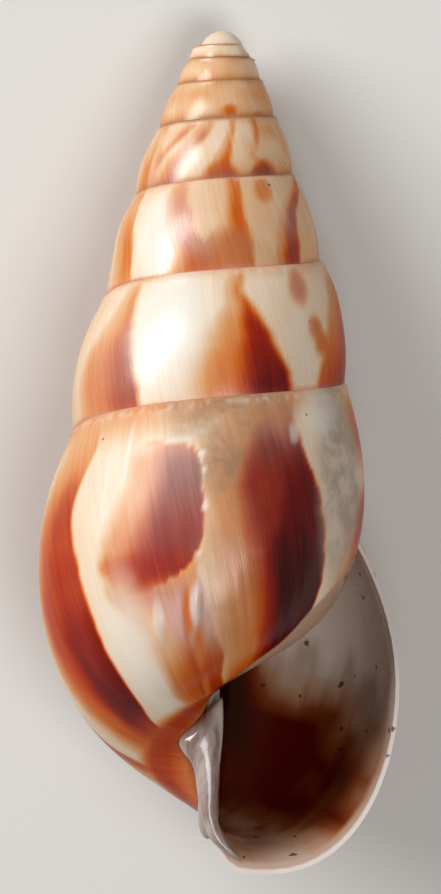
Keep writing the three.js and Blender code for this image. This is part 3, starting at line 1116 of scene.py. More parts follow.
FRONT_STAINS = (
    # Last whorl: dull film, chalk, painted glints on the ridges and on growth lines, scratches, wear and the
    # groove with its ridges.
    Stain(-0.77, 0.4, 0.036, 0.34, dull=0.75),
    Stain(-0.765, 0.08, 0.08, 0.22, dull=0.65),
    Stain(-0.915, 0.55, 0.045, 0.7, dull=0.95, chalk_and_glint=0.24),
    *(Stain(turn, down, 0.007, 0.18, pigment=0.48, bloom=0.05) for down, turn in GROOVE[2:]),
    # Painted glints on the two ridges beside the groove.
    Stain(-0.732, 1.3, 0.006, 0.13, chalk_and_glint=0.55),
    Stain(-0.692, 1.36, 0.006, 0.13, chalk_and_glint=0.45),
    Stain(-0.8, 0.62, 0.024, 0.36, pigment=0.77, dull=0.08),
    # Painted glints along growth lines on the lit left of the last whorl.
    Stain(-0.656, 0.32, 0.0025, 0.2, chalk_and_glint=0.6),
    Stain(-0.634, 0.5, 0.002, 0.25, chalk_and_glint=0.45),
    Stain(-0.7, 0.5, 0.09, 0.6, wear=1.0),
    Stain(-0.652, 1.5, 0.026, 0.5, chalk_and_glint=0.4),
    Stain(-0.765, 1.2, 0.035, 0.5, dull=0.35),
    Stain(-0.885, 0.14, 0.035, 0.16, chalk_and_glint=0.5),
    Stain(-0.838, 0.28, 0.006, 0.07, chalk_and_glint=0.5),
    # Painted glints on the scar's step and along its top edge.
    Stain(-0.712, 0.266, 0.014, 0.015, chalk_and_glint=0.4),
    Stain(-0.737, 0.37, 0.004, 0.03, chalk_and_glint=0.7),
    Stain(-0.7395, 0.47, 0.003, 0.03, chalk_and_glint=0.5),
    Stain(-0.742, 0.69, 0.004, 0.03, chalk_and_glint=0.6),
    Stain(-0.736, 0.99, 0.004, 0.025, chalk_and_glint=0.35),
    # Whorls before it: dull film, painted highlights where they face the key light, painted light on the
    # right of the whorl before, and spots.
    Stain(-2.76, 0.75, 0.05, 0.22, dull=0.35),
    # Painted highlight on the whorl before.
    Stain(-1.69, 0.4, 0.05, 0.46, chalk_and_glint=0.75),
    # Painted light on the right side of the whorl before.
    Stain(-1.862, 0.62, 0.02, 0.3, chalk_and_glint=0.15),
    # Painted highlights on the third and fourth whorls.
    Stain(-2.642, 0.55, 0.035, 0.4, chalk_and_glint=0.6),
    Stain(-3.69, 0.6, 0.03, 0.25, chalk_and_glint=0.3),
    Stain(-1.867, 0.19, 0.017, 0.16, pigment=0.46, bloom=0.5),
    Stain(-1.888, 0.53, 0.014, 0.1, pigment=0.46, bloom=0.1),
    Stain(-1.897, 0.65, 0.014, 0.1, pigment=0.48, bloom=0.0),
    Stain(-2.835, 0.17, 0.02, 0.14, pigment=0.44),
    Stain(-3.852, 0.9, 0.034, 0.24, pigment=0.64, dull=0.3),
    Stain(-3.752, 0.88, 0.036, 0.22, pigment=0.54, dull=0.35),
    Stain(-4.775, 0.62, 0.02, 0.12, pigment=0.5),
    Stain(-4.87, 0.72, 0.02, 0.08, pigment=0.46),
)

# By turn: the ground's tone, the shoulder's tone and reach below the suture, and the glaze's edge.
# The ground's dips near turns -1.7, -2.67 and -3.7 pale it under the whorls' highlights: partly pale shell,
# partly painted highlight.
GROUND_TONE = (
    (-7.55, 0.04), (-6.2, 0.12), (-5.6, 0.25), (-4.9, 0.28), (-4.6, 0.22), (-4.0, 0.26), (-3.9, 0.26),
    (-3.7, 0.13), (-3.55, 0.2), (-3.0, 0.22), (-2.85, 0.2), (-2.74, 0.2), (-2.69, 0.12), (-2.65, 0.04),
    (-2.5, 0.2), (-2.0, 0.2), (-1.88, 0.09), (-1.75, 0.07), (-1.65, 0.02), (-1.5, 0.2), (-1.0, 0.1),
    (-0.9, 0.06), (-0.65, 0.05), (-0.5, 0.1), (0.0, 0.16),
)
SHOULDER_TONE = (
    (-7.55, 0.05), (-4.0, 0.1), (-2.0, 0.24), (-1.0, 0.26), (-0.8, 0.34), (-0.5, 0.33), (0.0, 0.33),
)
SHOULDER_DEPTH = ((-7.55, 0.2), (-2.0, 0.14), (-1.1, 0.12), (-0.85, 0.25), (-0.65, 0.33), (0.0, 0.3))
GLAZE_LINE = (
    (-7.55, 1.1), (-1.6, 1.06), (-1.0, 1.12), (-0.95, 1.2), (-0.92, 1.33), (-0.9, 1.42), (-0.885, 1.5),
    (-0.865, 1.68), (-0.83, 1.85), (-0.8, 2.0), (-0.77, 2.1), (-0.72, 2.7), (0.0, 3.2),
)


@dataclass(frozen=True)
class Ridge:
    """Small hump on the wall: its place, height in millimetres, width in turns and length by down."""

    turn: float
    down: float
    height: float
    width: float
    length: float


@dataclass(frozen=True)
class Relief:
    """Low relief of the outside: growth lines, the suture's rim and a healed scar.

    Heights and depths are millimetres. Widths, jags and the recovery are turns, and spans are by down.
    """

    line_height: float = 0.01
    line_span: float = 0.15
    line_cells: tuple[Cells, ...] = (Cells(0.3, 6.0), Cells(0.85, 9.0, shift=57.0, gain=0.8))
    line_share: float = 0.6
    line_swell: Cells = Cells(7.0, 12.0, shift=13.0, gain=0.6)
    rim_notches: Cells = Cells(0.8, math.inf, shift=90.0, gain=0.5)
    rim_height: float = 0.05
    rim_down: float = 0.05
    rim_width: float = 0.035
    scar_drop: float = 0.09
    scar_edge: float = 0.0015
    scar_recovery: float = 0.045
    scar_jags: tuple[Cells, ...] = (Cells(math.inf, 0.4, gain=0.0025), Cells(math.inf, 1.3, gain=0.002))
    scar_jag_share: float = 0.6
    scar_top: Span = (0.24, 0.29)
    scar_foot: Span = (1.0, 1.12)
    groove_depth: float = 0.03
    groove_width: float = 0.006
    groove_top: Span = (1.0, 1.15)
    groove_foot: Span = (1.85, 2.0)
    ridges: tuple[Ridge, ...] = (
        Ridge(-0.69, 1.4, 0.16, 0.007, 0.13),
        Ridge(-0.732, 1.3, 0.17, 0.006, 0.16),
    )
    lip_span: float = 0.012
    seed: int = 23

    def lines(self, survey: Survey, grain: Grain) -> Array:
        """Growth lines, noise that is long down the whorl and short along it, and the notched rim.

        Args:
            survey: Places of the wall.
            grain: Noise of the lines.

        Returns:
            Heights of rings by places.
        """
        down = survey.down
        lines = sum(survey.noise(grain, cells) for cells in self.line_cells)
        swell = self.line_share + survey.noise(grain, self.line_swell)
        height = self.line_height * lines * swell * smoothstep(0.0, self.line_span, down)
        notch = 1.0 + survey.noise(grain, self.rim_notches)
        return height + self.rim_height * notch * bell(down - self.rim_down, self.rim_width)

    def scar(self, survey: Survey, grain: Grain) -> Array:
        """Depth of the scar, a step down along its jagged edge that recovers towards the lip.

        Args:
            survey: Places of the wall.
            grain: Noise of the jags.

        Returns:
            Depths of rings by places.
        """
        down = survey.down
        jag = sum(survey.bends(grain, cells) for cells in self.scar_jags)
        behind = survey.turns - through(SCAR, down) - self.scar_jag_share * jag
        patch = smoothstep(*self.scar_top, down) * (1.0 - smoothstep(*self.scar_foot, down))
        recovery = np.exp(-np.maximum(behind, 0.0) / self.scar_recovery)
        return self.scar_drop * (smoothstep(-self.scar_edge, self.scar_edge, behind) * recovery) * patch

    def height(self, survey: Survey) -> Array:
        """Sum of the lines, the scar, the groove below it and the ridges beside the groove.

        Args:
            survey: Places of the wall.

        Returns:
            Heights of rings by places, with none at the root and at the lip.
        """
        turn, down = survey.turns, survey.down
        grain = Grain(self.seed)
        height = self.lines(survey, grain) - self.scar(survey, grain)
        reach = smoothstep(*self.groove_top, down) * (1.0 - smoothstep(*self.groove_foot, down))
        groove = bell(turn - through(GROOVE, down), self.groove_width)
        height = height - self.groove_depth * reach * groove
        for ridge in self.ridges:
            across = ridge.height * bell(turn - ridge.turn, ridge.width)
            height = height + across * bell(down - ridge.down, ridge.length)
        height = height * (1.0 - smoothstep(-self.lip_span, 0.0, turn))
        height[:, 0] = 0.0
        return height


@dataclass(frozen=True)
class CoiledWall:
    """Coiled wall of the shell with its lining.

    The counts are places on the shoulder, the flank and the base of a ring, and the ring rates are
    rings to a turn from a turn on. Walls are millimetres, and the lip's span is in turns.
    """

    growth: Growth = Growth()
    relief: Relief = Relief()
    counts: tuple[int, int, int] = (30, 48, 15)
    ring_rates: Knots = (
        (-7.5, 40.0), (-5.03, 70.0), (-4.46, 44.0), (-4.03, 160.0), (-3.46, 50.0), (-3.04, 190.0),
        (-2.45, 60.0), (-2.03, 230.0), (-1.47, 70.0), (-1.03, 420.0), (-0.46, 140.0),
    )
    lining_from: float = -1.3
    lining_step: int = 3
    lip_wall: float = 0.2
    lip_span: float = 0.02
    base_thinning: float = 0.6

    def turns(self) -> Array:
        """Space the rings, closer together where the mouth's side shows them.

        Returns:
            Turns of the rings, up to the lip.
        """
        starts = [start for start, _ in self.ring_rates]
        ends = [*starts[1:], 0.0]
        spans = zip(starts, ends, (rate for _, rate in self.ring_rates))
        parts = [np.linspace(a, b, max(2, round((b - a) * rate)), endpoint=False) for a, b, rate in spans]
        return np.concatenate([*parts, [0.0]])

    def build(self, stock: Stock, markings: Markings) -> None:
        """Add the displaced outside, the lining of the last whorl and what closes them.

        Args:
            stock: Mesh parts to add to.
            markings: Colours of the wall.
        """
        survey = Survey.of(self.growth, self.turns(), self.counts)
        rings, places = survey.down.shape
        values = {**markings.paint(survey), "along": survey.along, "fall": survey.fall}
        section = survey.section + survey.normal * self.relief.height(survey)[..., None]
        start = stock.add_points(self.growth.coil(survey.turn, section), values)
        stock.add_faces(grid_faces(rings, places, start), Finish.OUTSIDE)
        outside = np.arange(rings * places).reshape(rings, places) + start
        first = int(np.searchsorted(survey.turn, self.lining_from))
        self.close(stock, outside, self.lining(stock, survey, values, first), first)

    def lining(self, stock: Stock, survey: Survey, values: dict[str, Array], first: int) -> Array:
        """Lining: the outside moved in along its normal by the wall, on every third place.

        The wall thins to the lip and towards the pillar.

        Args:
            stock: Mesh parts to add to.
            survey: Places of the wall.
            values: Point values of the outside.
            first: Ring at which the lining starts.

        Returns:
            Numbers of the lining's points, by rings and places.
        """
        turn = survey.turn[first:]
        thick = self.growth.wall_thickness(turn)
        thick = self.lip_wall + (thick - self.lip_wall) * smoothstep(0.0, self.lip_span, -turn)
        places, base = survey.down.shape[1], self.counts[2]
        thin = 1.0 - self.base_thinning * np.clip((np.arange(places) - places + base) / base, 0.0, 1.0)
        inset = (thick[:, None] * thin)[..., None] * survey.normal[first:]
        pick = slice(None, None, self.lining_step)
        inside = (survey.section[first:] - inset)[:, pick]
        inside[:, 0] = survey.section[first:, 0]
        inside[:, 0, 1] -= thick
        picked = {name: value[first:, pick] for name, value in values.items()}
        start = stock.add_points(self.growth.coil(turn, inside), {**picked, "glaze": 1.0})
        rows, columns = inside.shape[:2]
        stock.add_faces(grid_faces(rows, columns, start)[:, ::-1], Finish.LINING)
        return np.arange(rows * columns).reshape(rows, columns) + start

    def close(self, stock: Stock, outside: Array, lining: Array, first: int) -> None:
        """Join the outside and the lining along the suture, the pillar and the lip.

        Before the lining starts, a strip from the pillar to the suture closes the section.

        Args:
            stock: Mesh parts to add to.
            outside: Numbers of the outside's points.
            lining: Numbers of the lining's points.
            first: Ring at which the lining starts.
        """
        top, roof = outside[first:, 0], lining[:, 0]
        stock.add_faces(np.stack([top[1:], top[:-1], roof[:-1], roof[1:]], axis=-1), Finish.LINING)
        last, ends = outside[first:, -1], lining[:, -1]
        stock.add_faces(np.stack([last[:-1], last[1:], ends[1:], ends[:-1]], axis=-1), Finish.LINING)
        lip, brim, k = outside[-1], lining[-1], self.lining_step
        corners = [lip[k::k], lip[k - 1 :: k], lip[k - 2 :: k], lip[:-1:k], brim[:-1], brim[1:]]
        stock.add_faces(np.stack(corners, axis=-1), Finish.LINING)
        early = outside[: first + 1]
        chord = [early[:-1, -1], early[1:, -1], early[1:, 0], early[:-1, 0]]
        stock.add_faces(np.stack(chord, axis=-1), Finish.OUTSIDE)
        end_wall = [outside[first, 0], outside[first, -1], *lining[0, ::-1]]
        stock.add_faces([[int(i) for i in end_wall]], Finish.LINING)
        stock.add_faces([outside[0].tolist()], Finish.OUTSIDE)


@dataclass(frozen=True)
class Core:
    """The filled first whorl and the pillar, with sizes in millimetres along the coil axis."""

    nucleus_radius: float = 1.25
    nucleus_height: float = 2.8
    nucleus_top: float = 0.1
    nucleus_sides: int = 48
    nucleus_pigment: float = 0.08
    nucleus_lilac: float = 0.1
    pillar_radius: float = 0.55
    pillar_tip_radius: float = 0.2
    pillar_foot: float = -43.0
    pillar_foot_height: float = 1.2
    pillar_sides: int = 32
    along: float = -12.0

    def build(self, stock: Stock, ball_rings: int = 25, foot_rings: int = 9) -> None:
        """Add the first whorl, an ellipsoid, and the pillar, a cone with a rounded foot.

        Args:
            stock: Mesh parts to add to.
            ball_rings: Places on the ellipsoid's profile.
            foot_rings: Places on the foot's profile.
        """
        angle = np.linspace(-math.pi / 2, math.pi / 2, ball_rings)
        half = 0.5 * self.nucleus_height
        ball_z = self.nucleus_top - half + half * np.sin(angle)
        ball = np.stack([self.nucleus_radius * np.cos(angle), ball_z], axis=-1)
        values = plain_values(pigment=self.nucleus_pigment, bloom=self.nucleus_lilac, along=self.along)
        stock.add_lathe(ball, self.nucleus_sides, Finish.OUTSIDE, values)
        rise = np.linspace(0.0, math.pi / 2, foot_rings)
        foot_z = self.pillar_foot + self.pillar_foot_height * (1.0 - np.cos(rise))
        foot = np.stack([self.pillar_radius * np.sin(rise), foot_z], axis=-1)
        cone = np.array([[self.pillar_tip_radius, -half], [0.0, -half]])
        profile = np.concatenate([foot, cone])
        stock.add_lathe(profile, self.pillar_sides, Finish.TURNED_LIP, plain_values(along=self.along))


@dataclass(frozen=True)
class TurnedLip:
    """Lip turned back over the pillar.

    Its left and right edges and its front are by height, all in millimetres. Near its ends it
    narrows by a power of the length.
    """

    left: Knots = (
        (-44.0, 1.42), (-43.5, 0.61), (-42.0, -0.32), (-40.4, -0.62), (-39.1, -0.91), (-37.9, -1.62),
        (-36.6, -0.5), (-35.5, 0.45),
    )
    right: Knots = (
        (-44.0, 1.9), (-43.5, 1.3), (-42.0, 0.53), (-40.4, 0.55), (-39.1, 0.58), (-37.9, 0.67), (-35.5, 0.75),
    )
    front: Knots = (
        (-44.3, 0.1), (-43.5, -0.2), (-42.0, -0.45), (-40.4, -0.6), (-39.1, -0.8), (-37.9, -1.0),
        (-36.5, -1.1), (-35.2, -0.9),
    )
    thickness: float = 0.4
    roll: float = 0.18
    end_power: int = 12
    end_width: float = 0.02
    end_thickness: float = 0.05

    def build(self, stock: Stock, rings: int = 90, sides: int = 28) -> None:
        """Add an oval band between the two edges, rolled to the front.

        Args:
            stock: Mesh parts to add to.
            rings: Sections along the band.
            sides: Places around a section.
        """
        z = np.linspace(self.left[0][0], self.left[-1][0], rings)[:, None]
        left, right = through(self.left, z), through(self.right, z)
        front = through(self.front, z)
        angle = np.linspace(0.0, 2.0 * math.pi, sides, endpoint=False)[None]
        span = np.linspace(-1.0, 1.0, rings)[:, None]
        end = np.sqrt(np.clip(1.0 - span**self.end_power, 0.0, 1.0))
        half = 0.5 * (right - left) * np.maximum(end, self.end_width)
        thick = self.thickness * np.maximum(end, self.end_thickness)
        roll = 2.0 * self.roll * half
        x = 0.5 * (left + right) + half * np.cos(angle)
        y = front - 0.5 * thick * np.sin(angle) - roll * np.sin(angle) ** 2
        points = np.stack([x, y, z + 0.0 * angle], axis=-1)
        values = plain_values(along=half * angle / math.pi, fall=points[..., 2])
        start = stock.add_points(points, values)
        stock.add_faces(grid_faces(rings, sides, start, wrap=True), Finish.TURNED_LIP)
        rim = (np.arange(sides) + start).tolist()
        stock.add_faces([rim], Finish.TURNED_LIP)
        stock.add_faces([[i + (rings - 1) * sides for i in rim[::-1]]], Finish.TURNED_LIP)


@dataclass(frozen=True)
class Shell:
    """The snail shell: coiled wall, core and turned lip, which grew as one piece."""

    wall: CoiledWall = CoiledWall()
    core: Core = Core()
    turned_lip: TurnedLip = TurnedLip()
    lie: Lie = Lie()

    def build(self, markings: Markings) -> bpy.types.Object:
        """Make the shell's object, riding on the root body in place of the plain solid.

        Args:
            markings: Colours of the wall.

        Returns:
            The shell without materials.
        """
        stock = Stock()
        self.wall.build(stock, markings)
        self.core.build(stock)
        self.turned_lip.build(stock)
        piece = bpy.data.objects.new("snail_shell", stock.mesh("snail_shell", self.lie))
        bpy.context.collection.objects.link(piece)
        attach(piece, "root")
        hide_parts("shell")
        return piece

    def dress(self, piece: bpy.types.Object) -> None:
        """Give the shell its three finishes, in the order of its slots."""
        for finish in (OutsideFinish(), LiningFinish(), TurnedLipFinish()):
            piece.data.materials.append(finish.material())


Source = bpy.types.NodeSocket | float | tuple[float, ...]
Inputs = dict[str | int, Source]


def linear(colour: Colour) -> tuple[float, float, float, float]:
    """Display colour as the linear colour that a shader takes.

    Args:
        colour: Red, green and blue from 0 to 255.

    Returns:
        Linear red, green and blue, and an opacity of 1.
    """
    shares = np.array(colour) / 255.0
    curve = np.where(shares <= 0.04045, shares / 12.92, ((shares + 0.055) / 1.055) ** 2.4)
    return (*(float(value) for value in curve), 1.0)


class Board:
    """Node tree with short calls that add nodes and join them."""

    def __init__(self, tree: bpy.types.NodeTree) -> None:
        """Take a node tree to work on."""
        self.tree = tree

    def feed(self, socket: bpy.types.NodeSocket, source: Source) -> None:
        """Join a source to an input, or set the input's own value.

        Args:
            socket: The input.
            source: Socket to join it to, or its value.
        """
        if isinstance(source, bpy.types.NodeSocket):
            self.tree.links.new(source, socket)
        else:
            socket.default_value = source

    def node(self, kind: str, inputs: Inputs | None = None, **settings: object) -> bpy.types.Node:
        """Add a node.

        Args:
            kind: Blender's name of the node type.
            inputs: Values or sockets for its inputs.
            **settings: Properties of the node, set before its inputs.

        Returns:
            The node.
        """
        made = self.tree.nodes.new(kind)
        for name, value in settings.items():
            setattr(made, name, value)
        for key, source in (inputs or {}).items():
            self.feed(made.inputs[key], source)
        return made

    def math(self, operation: str, a: Source, b: Source = 0.0, clamp: bool = False) -> bpy.types.NodeSocket:
        """Result of a Math node on one or two values."""
        return self.node("ShaderNodeMath", {0: a, 1: b}, operation=operation, use_clamp=clamp).outputs[0]

    def ranged(self, value: Source, span: Span, to: Span = (0.0, 1.0)) -> bpy.types.NodeSocket:
        """Value carried smoothly from one span to another, held at its ends."""
        inputs = {0: value, 1: span[0], 2: span[1], 3: to[0], 4: to[1]}
        return self.node("ShaderNodeMapRange", inputs, interpolation_type="SMOOTHSTEP").outputs[0]

    def blend(self, share: Source, a: Source, b: Source) -> bpy.types.NodeSocket:
        """Colour a with share of colour b blended over it."""
        return self.node("ShaderNodeMix", {0: share, 6: a, 7: b}, data_type="RGBA").outputs[2]

    def noise(self, place: Source, scale: float, detail: float, roughness: float) -> bpy.types.NodeSocket:
        """Value of a Noise texture at a place."""
        inputs = {"Vector": place, "Scale": scale, "Detail": detail, "Roughness": roughness}
        return self.node("ShaderNodeTexNoise", inputs).outputs[0]

    def ramp(self, value: Source, stops: Stops) -> bpy.types.NodeSocket:
        """Colour from a row of stops.

        Args:
            value: Place on the row, from 0 to 1.
            stops: Places and display colours, by rising place.

        Returns:
            The colour.
        """
        made = self.node("ShaderNodeValToRGB", {0: value})
        elements = made.color_ramp.elements
        while len(elements) < len(stops):
            elements.new(1.0)
        for element, (place, _) in zip(elements, stops):
            element.position = place
        for element, (_, colour) in zip(elements, stops):
            element.color = linear(colour)
        return made.outputs[0]

    def value(self, name: str) -> bpy.types.NodeSocket:
        """Point value of the mesh by name."""
        return self.node("ShaderNodeAttribute", attribute_name=name).outputs["Fac"]

    def group(self, tree: bpy.types.NodeTree, inputs: Inputs) -> dict[str, bpy.types.NodeSocket]:
        """Outputs by name of a node group that is placed with its inputs."""
        made = self.node("ShaderNodeGroup", inputs, node_tree=tree)
        return {socket.name: socket for socket in made.outputs}


class Kind(StrEnum):
    """What a node group's output carries."""

    VALUE = "NodeSocketFloat"
    COLOUR = "NodeSocketColor"


def made_once(
    name: str, inputs: tuple[str, ...], outputs: dict[str, Kind], fill: Callable[[Board, Inputs], Inputs]
) -> bpy.types.NodeTree:
    """Node group whose inputs are single values, made when it is first asked for.

    Args:
        name: Name of the group.
        inputs: Names of its inputs.
        outputs: Kinds of its outputs by name.
        fill: Adds the nodes, given the group's board and inputs, and returns what feeds the outputs.

    Returns:
        The group.
    """
    if name in bpy.data.node_groups:
        return bpy.data.node_groups[name]
    tree = bpy.data.node_groups.new(name, "ShaderNodeTree")
    for key in inputs:
        tree.interface.new_socket(key, in_out="INPUT", socket_type=Kind.VALUE.value)
    for key, kind in outputs.items():
        tree.interface.new_socket(key, in_out="OUTPUT", socket_type=kind.value)
    board = Board(tree)
    given = board.node("NodeGroupInput")
    board.node("NodeGroupOutput", fill(board, {key: given.outputs[key] for key in inputs}))
    return tree


@dataclass(frozen=True)
class GrowthStreaks:
    """Fine lines across the coil, of a pitch and a reach in millimetres."""

    pitch: float
    reach: float
    streak: Span = (0.25, 0.75)

    def fill(self, board: Board, given: Inputs) -> Inputs:
        """Noise on (along / pitch, fall / reach) is the streak, and finer noise the relief.

        Args:
            board: Board of the group.
            given: Its inputs.

        Returns:
            Sockets that feed its outputs.
        """
        across = board.math("DIVIDE", given["Along"], given["Pitch"])
        down = board.math("DIVIDE", given["Fall"], given["Reach"])
        place = board.node("ShaderNodeCombineXYZ", {0: across, 1: down, 2: 0.0}).outputs[0]
        broad = board.noise(place, scale=1.0, detail=3.0, roughness=0.6)
        fine = board.noise(place, scale=2.3, detail=2.0, roughness=0.55)
        return {"Streak": board.ranged(broad, self.streak), "Relief": fine}

    def place(self, board: Board) -> dict[str, bpy.types.NodeSocket]:
        """Place the group in a material.

        Args:
            board: Board of the material.

        Returns:
            Outputs of the group by name.
        """
        outputs = {"Streak": Kind.VALUE, "Relief": Kind.VALUE}
        tree = made_once("growth_streaks", ("Along", "Fall", "Pitch", "Reach"), outputs, self.fill)
        along, fall = board.value("along"), board.value("fall")
        return board.group(tree, {"Along": along, "Fall": fall, "Pitch": self.pitch, "Reach": self.reach})


@dataclass(frozen=True)
class GrimeSpecks:
    """Scattered specks of dirt: cells to a metre, the share of them with a speck, and its size."""

    cells: float
    share: float
    size: float
    smear_scale: float = 700.0
    crumb_scale: float = 3600.0
    crumb_gain: float = 1.8
    least_size: float = 0.4
    rim: Span = (0.0, 0.45)

    def fill(self, board: Board, given: Inputs) -> Inputs:
        """Cells of a Voronoi pattern on Object coordinates hold specks, and smears are soft noise.

        A cell has a speck where its first random number is under the share. The second one sets
        the speck's size, and noise makes its rim ragged.

        Args:
            board: Board of the group.
            given: Its inputs.

        Returns:
            Sockets that feed its outputs.
        """
        place = board.node("ShaderNodeTexCoord").outputs["Object"]
        cells = board.node("ShaderNodeTexVoronoi", {"Vector": place, "Scale": given["Cells"]})
        lots = board.node("ShaderNodeSeparateColor", {0: cells.outputs["Color"]}).outputs
        chosen = board.math("LESS_THAN", lots[0], given["Share"])
        size = board.math("MULTIPLY", given["Size"], board.math("ADD", lots[1], self.least_size))
        away = board.math("DIVIDE", cells.outputs["Distance"], size)
        crumb = board.noise(place, self.crumb_scale, detail=1.0, roughness=0.5)
        near = board.math("SUBTRACT", board.math("MULTIPLY", crumb, self.crumb_gain), away, clamp=True)
        speck = board.math("MULTIPLY", chosen, board.ranged(near, self.rim))
        return {"Speck": speck, "Smear": board.noise(place, self.smear_scale, detail=4.0, roughness=0.65)}

    def place(self, board: Board) -> dict[str, bpy.types.NodeSocket]:
        """Place the group in a material.

        Args:
            board: Board of the material.

        Returns:
            Outputs of the group by name.
        """
        outputs = {"Speck": Kind.VALUE, "Smear": Kind.VALUE}
        tree = made_once("grime_specks", ("Cells", "Share", "Size"), outputs, self.fill)
        return board.group(tree, {"Cells": self.cells, "Share": self.share, "Size": self.size})


@dataclass(frozen=True)
class LiningColours:
    """Colours of the lining from the pale margin of the lip to the brown inside and the painted shadow of the
    hollow.
    """

    margin: Colour = (216, 204, 197)
    # The last stop, nearly black, paints the shadow in the hollow beside the pillar.
    tones: Stops = (
        (0.0, (230, 207, 190)), (0.14, (190, 162, 144)), (0.36, (176, 128, 96)), (0.64, (134, 66, 26)),
        (0.88, (88, 13, 3)), (1.0, (30, 4, 2)),
    )
    margin_width: float = 0.35

    def fill(self, board: Board, given: Inputs) -> Inputs:
        """Colour by the value of brown and painted shade, paler near the lip."""
        edge = board.ranged(given["Along"], (-self.margin_width, 0.0))
        return {"Colour": board.blend(edge, board.ramp(given["Brown"], self.tones), linear(self.margin))}

    def place(self, board: Board) -> bpy.types.NodeSocket:
        """Colour of the lining in a material."""
        tree = made_once("lining_colours", ("Along", "Brown"), {"Colour": Kind.COLOUR}, self.fill)
        return board.group(tree, {"Along": board.value("along"), "Brown": board.value("brown_and_shade")})["Colour"]


def new_material(name: str, **constants: float) -> tuple[Board, bpy.types.Node]:
    """Start a material with a Principled shader.

    Args:
        name: Name of the material.
        **constants: Values for the shader's own sockets, with underscores for spaces.

    Returns:
        Board of the material and its shader.
    """
    material = bpy.data.materials.new(name)
    material.use_nodes = True
    board = Board(material.node_tree)
    shader = board.tree.nodes["Principled BSDF"]
    for key, value in constants.items():
        shader.inputs[key.replace("_", " ")].default_value = value
    return board, shader


@dataclass(frozen=True)
class OutsideFinish:
    """Worn glossy outside, from cream through orange to nearly black, with lilac, chalk and painted
    highlights.
    """

    tones: Stops = (
        (0.0, (232, 215, 193)), (0.2, (219, 178, 138)), (0.36, (210, 140, 82)), (0.5, (200, 96, 24)),
        (0.62, (176, 58, 5)), (0.75, (146, 26, 2)), (0.88, (104, 8, 1)), (1.0, (62, 2, 1)),
    )
    lilacs: Stops = (
        (0.0, (228, 208, 196)), (0.25, (224, 174, 155)), (0.36, (206, 156, 146)), (0.55, (158, 114, 106)),
        (0.7, (124, 70, 66)), (0.85, (94, 36, 36)), (1.0, (56, 16, 18)),
    )
    chalk_and_glint: Colour = (230, 226, 216)
    film: Colour = (146, 114, 86)
    dirt: Colour = (62, 40, 28)
    streaks: GrowthStreaks = GrowthStreaks(pitch=0.22, reach=5.0)
    streak_gain: float = 0.06
    grime: GrimeSpecks = GrimeSpecks(cells=1300.0, share=0.05, size=0.12)
    grime_share: float = 0.7
    smear: Span = (0.35, 0.65)
    film_gain: Span = (0.6, 1.15)
    relief: Span = (0.3, 0.7)
    roughness: Span = (0.2, 0.32)
    wear_roughness: float = 0.3
    facing: Span = (0.15, 0.55)
    sheen: Span = (0.5, 0.05)
    bump_strength: float = 0.25
    bump_height: float = 0.00003

    def colour(self, board: Board, lines: Inputs) -> bpy.types.NodeSocket:
        """Pigment and lilac under film, chalk and painted highlights, the lining's glaze and specks of dirt.

        Args:
            board: Board of the material.
            lines: Outputs of the growth streaks.

        Returns:
            The colour.
        """
        grime = self.grime.place(board)
        sway = board.math("MULTIPLY", board.math("SUBTRACT", lines["Streak"], 0.5), self.streak_gain)
        pigment = board.math("ADD", board.value("pigment"), sway, clamp=True)
        lilac = board.ramp(pigment, self.lilacs)
        colour = board.blend(board.value("bloom"), board.ramp(pigment, self.tones), lilac)
        patchy = board.ranged(grime["Smear"], self.smear, self.film_gain)
        film = board.math("MULTIPLY", board.value("dull"), patchy, clamp=True)
        colour = board.blend(film, colour, linear(self.film))
        # Chalk and painted highlights and glints whiten the colour.
        colour = board.blend(board.value("chalk_and_glint"), colour, linear(self.chalk_and_glint))
        # The glaze takes the lining's colours, with their painted shade.
        colour = board.blend(board.value("glaze"), colour, LiningColours().place(board))
        dirt = board.math("MULTIPLY", grime["Speck"], self.grime_share)
        return board.blend(dirt, colour, linear(self.dirt))

    def material(self) -> bpy.types.Material:
        """Make the material, whose specular level falls from where it faces the viewer to edge on.

        Returns:
            The material.
        """
        name = "shell_outside"
        board, shader = new_material(name, Coat_Weight=0.06, Coat_Roughness=0.08, Specular_IOR_Level=0.25)
        lines = self.streaks.place(board)
        board.feed(shader.inputs["Base Color"], self.colour(board, lines))
        away = board.node("ShaderNodeLayerWeight", {"Blend": 0.5}).outputs["Facing"]
        board.feed(shader.inputs["Specular IOR Level"], board.ranged(away, self.facing, self.sheen))
        grain = board.ranged(lines["Relief"], self.relief, self.roughness)
        worn = board.math("MULTIPLY", board.value("wear"), self.wear_roughness)
        board.feed(shader.inputs["Roughness"], board.math("ADD", grain, worn))
        inputs = {"Strength": self.bump_strength, "Distance": self.bump_height, "Height": lines["Relief"]}
        board.feed(shader.inputs["Normal"], board.node("ShaderNodeBump", inputs).outputs[0])
        return bpy.data.materials[name]


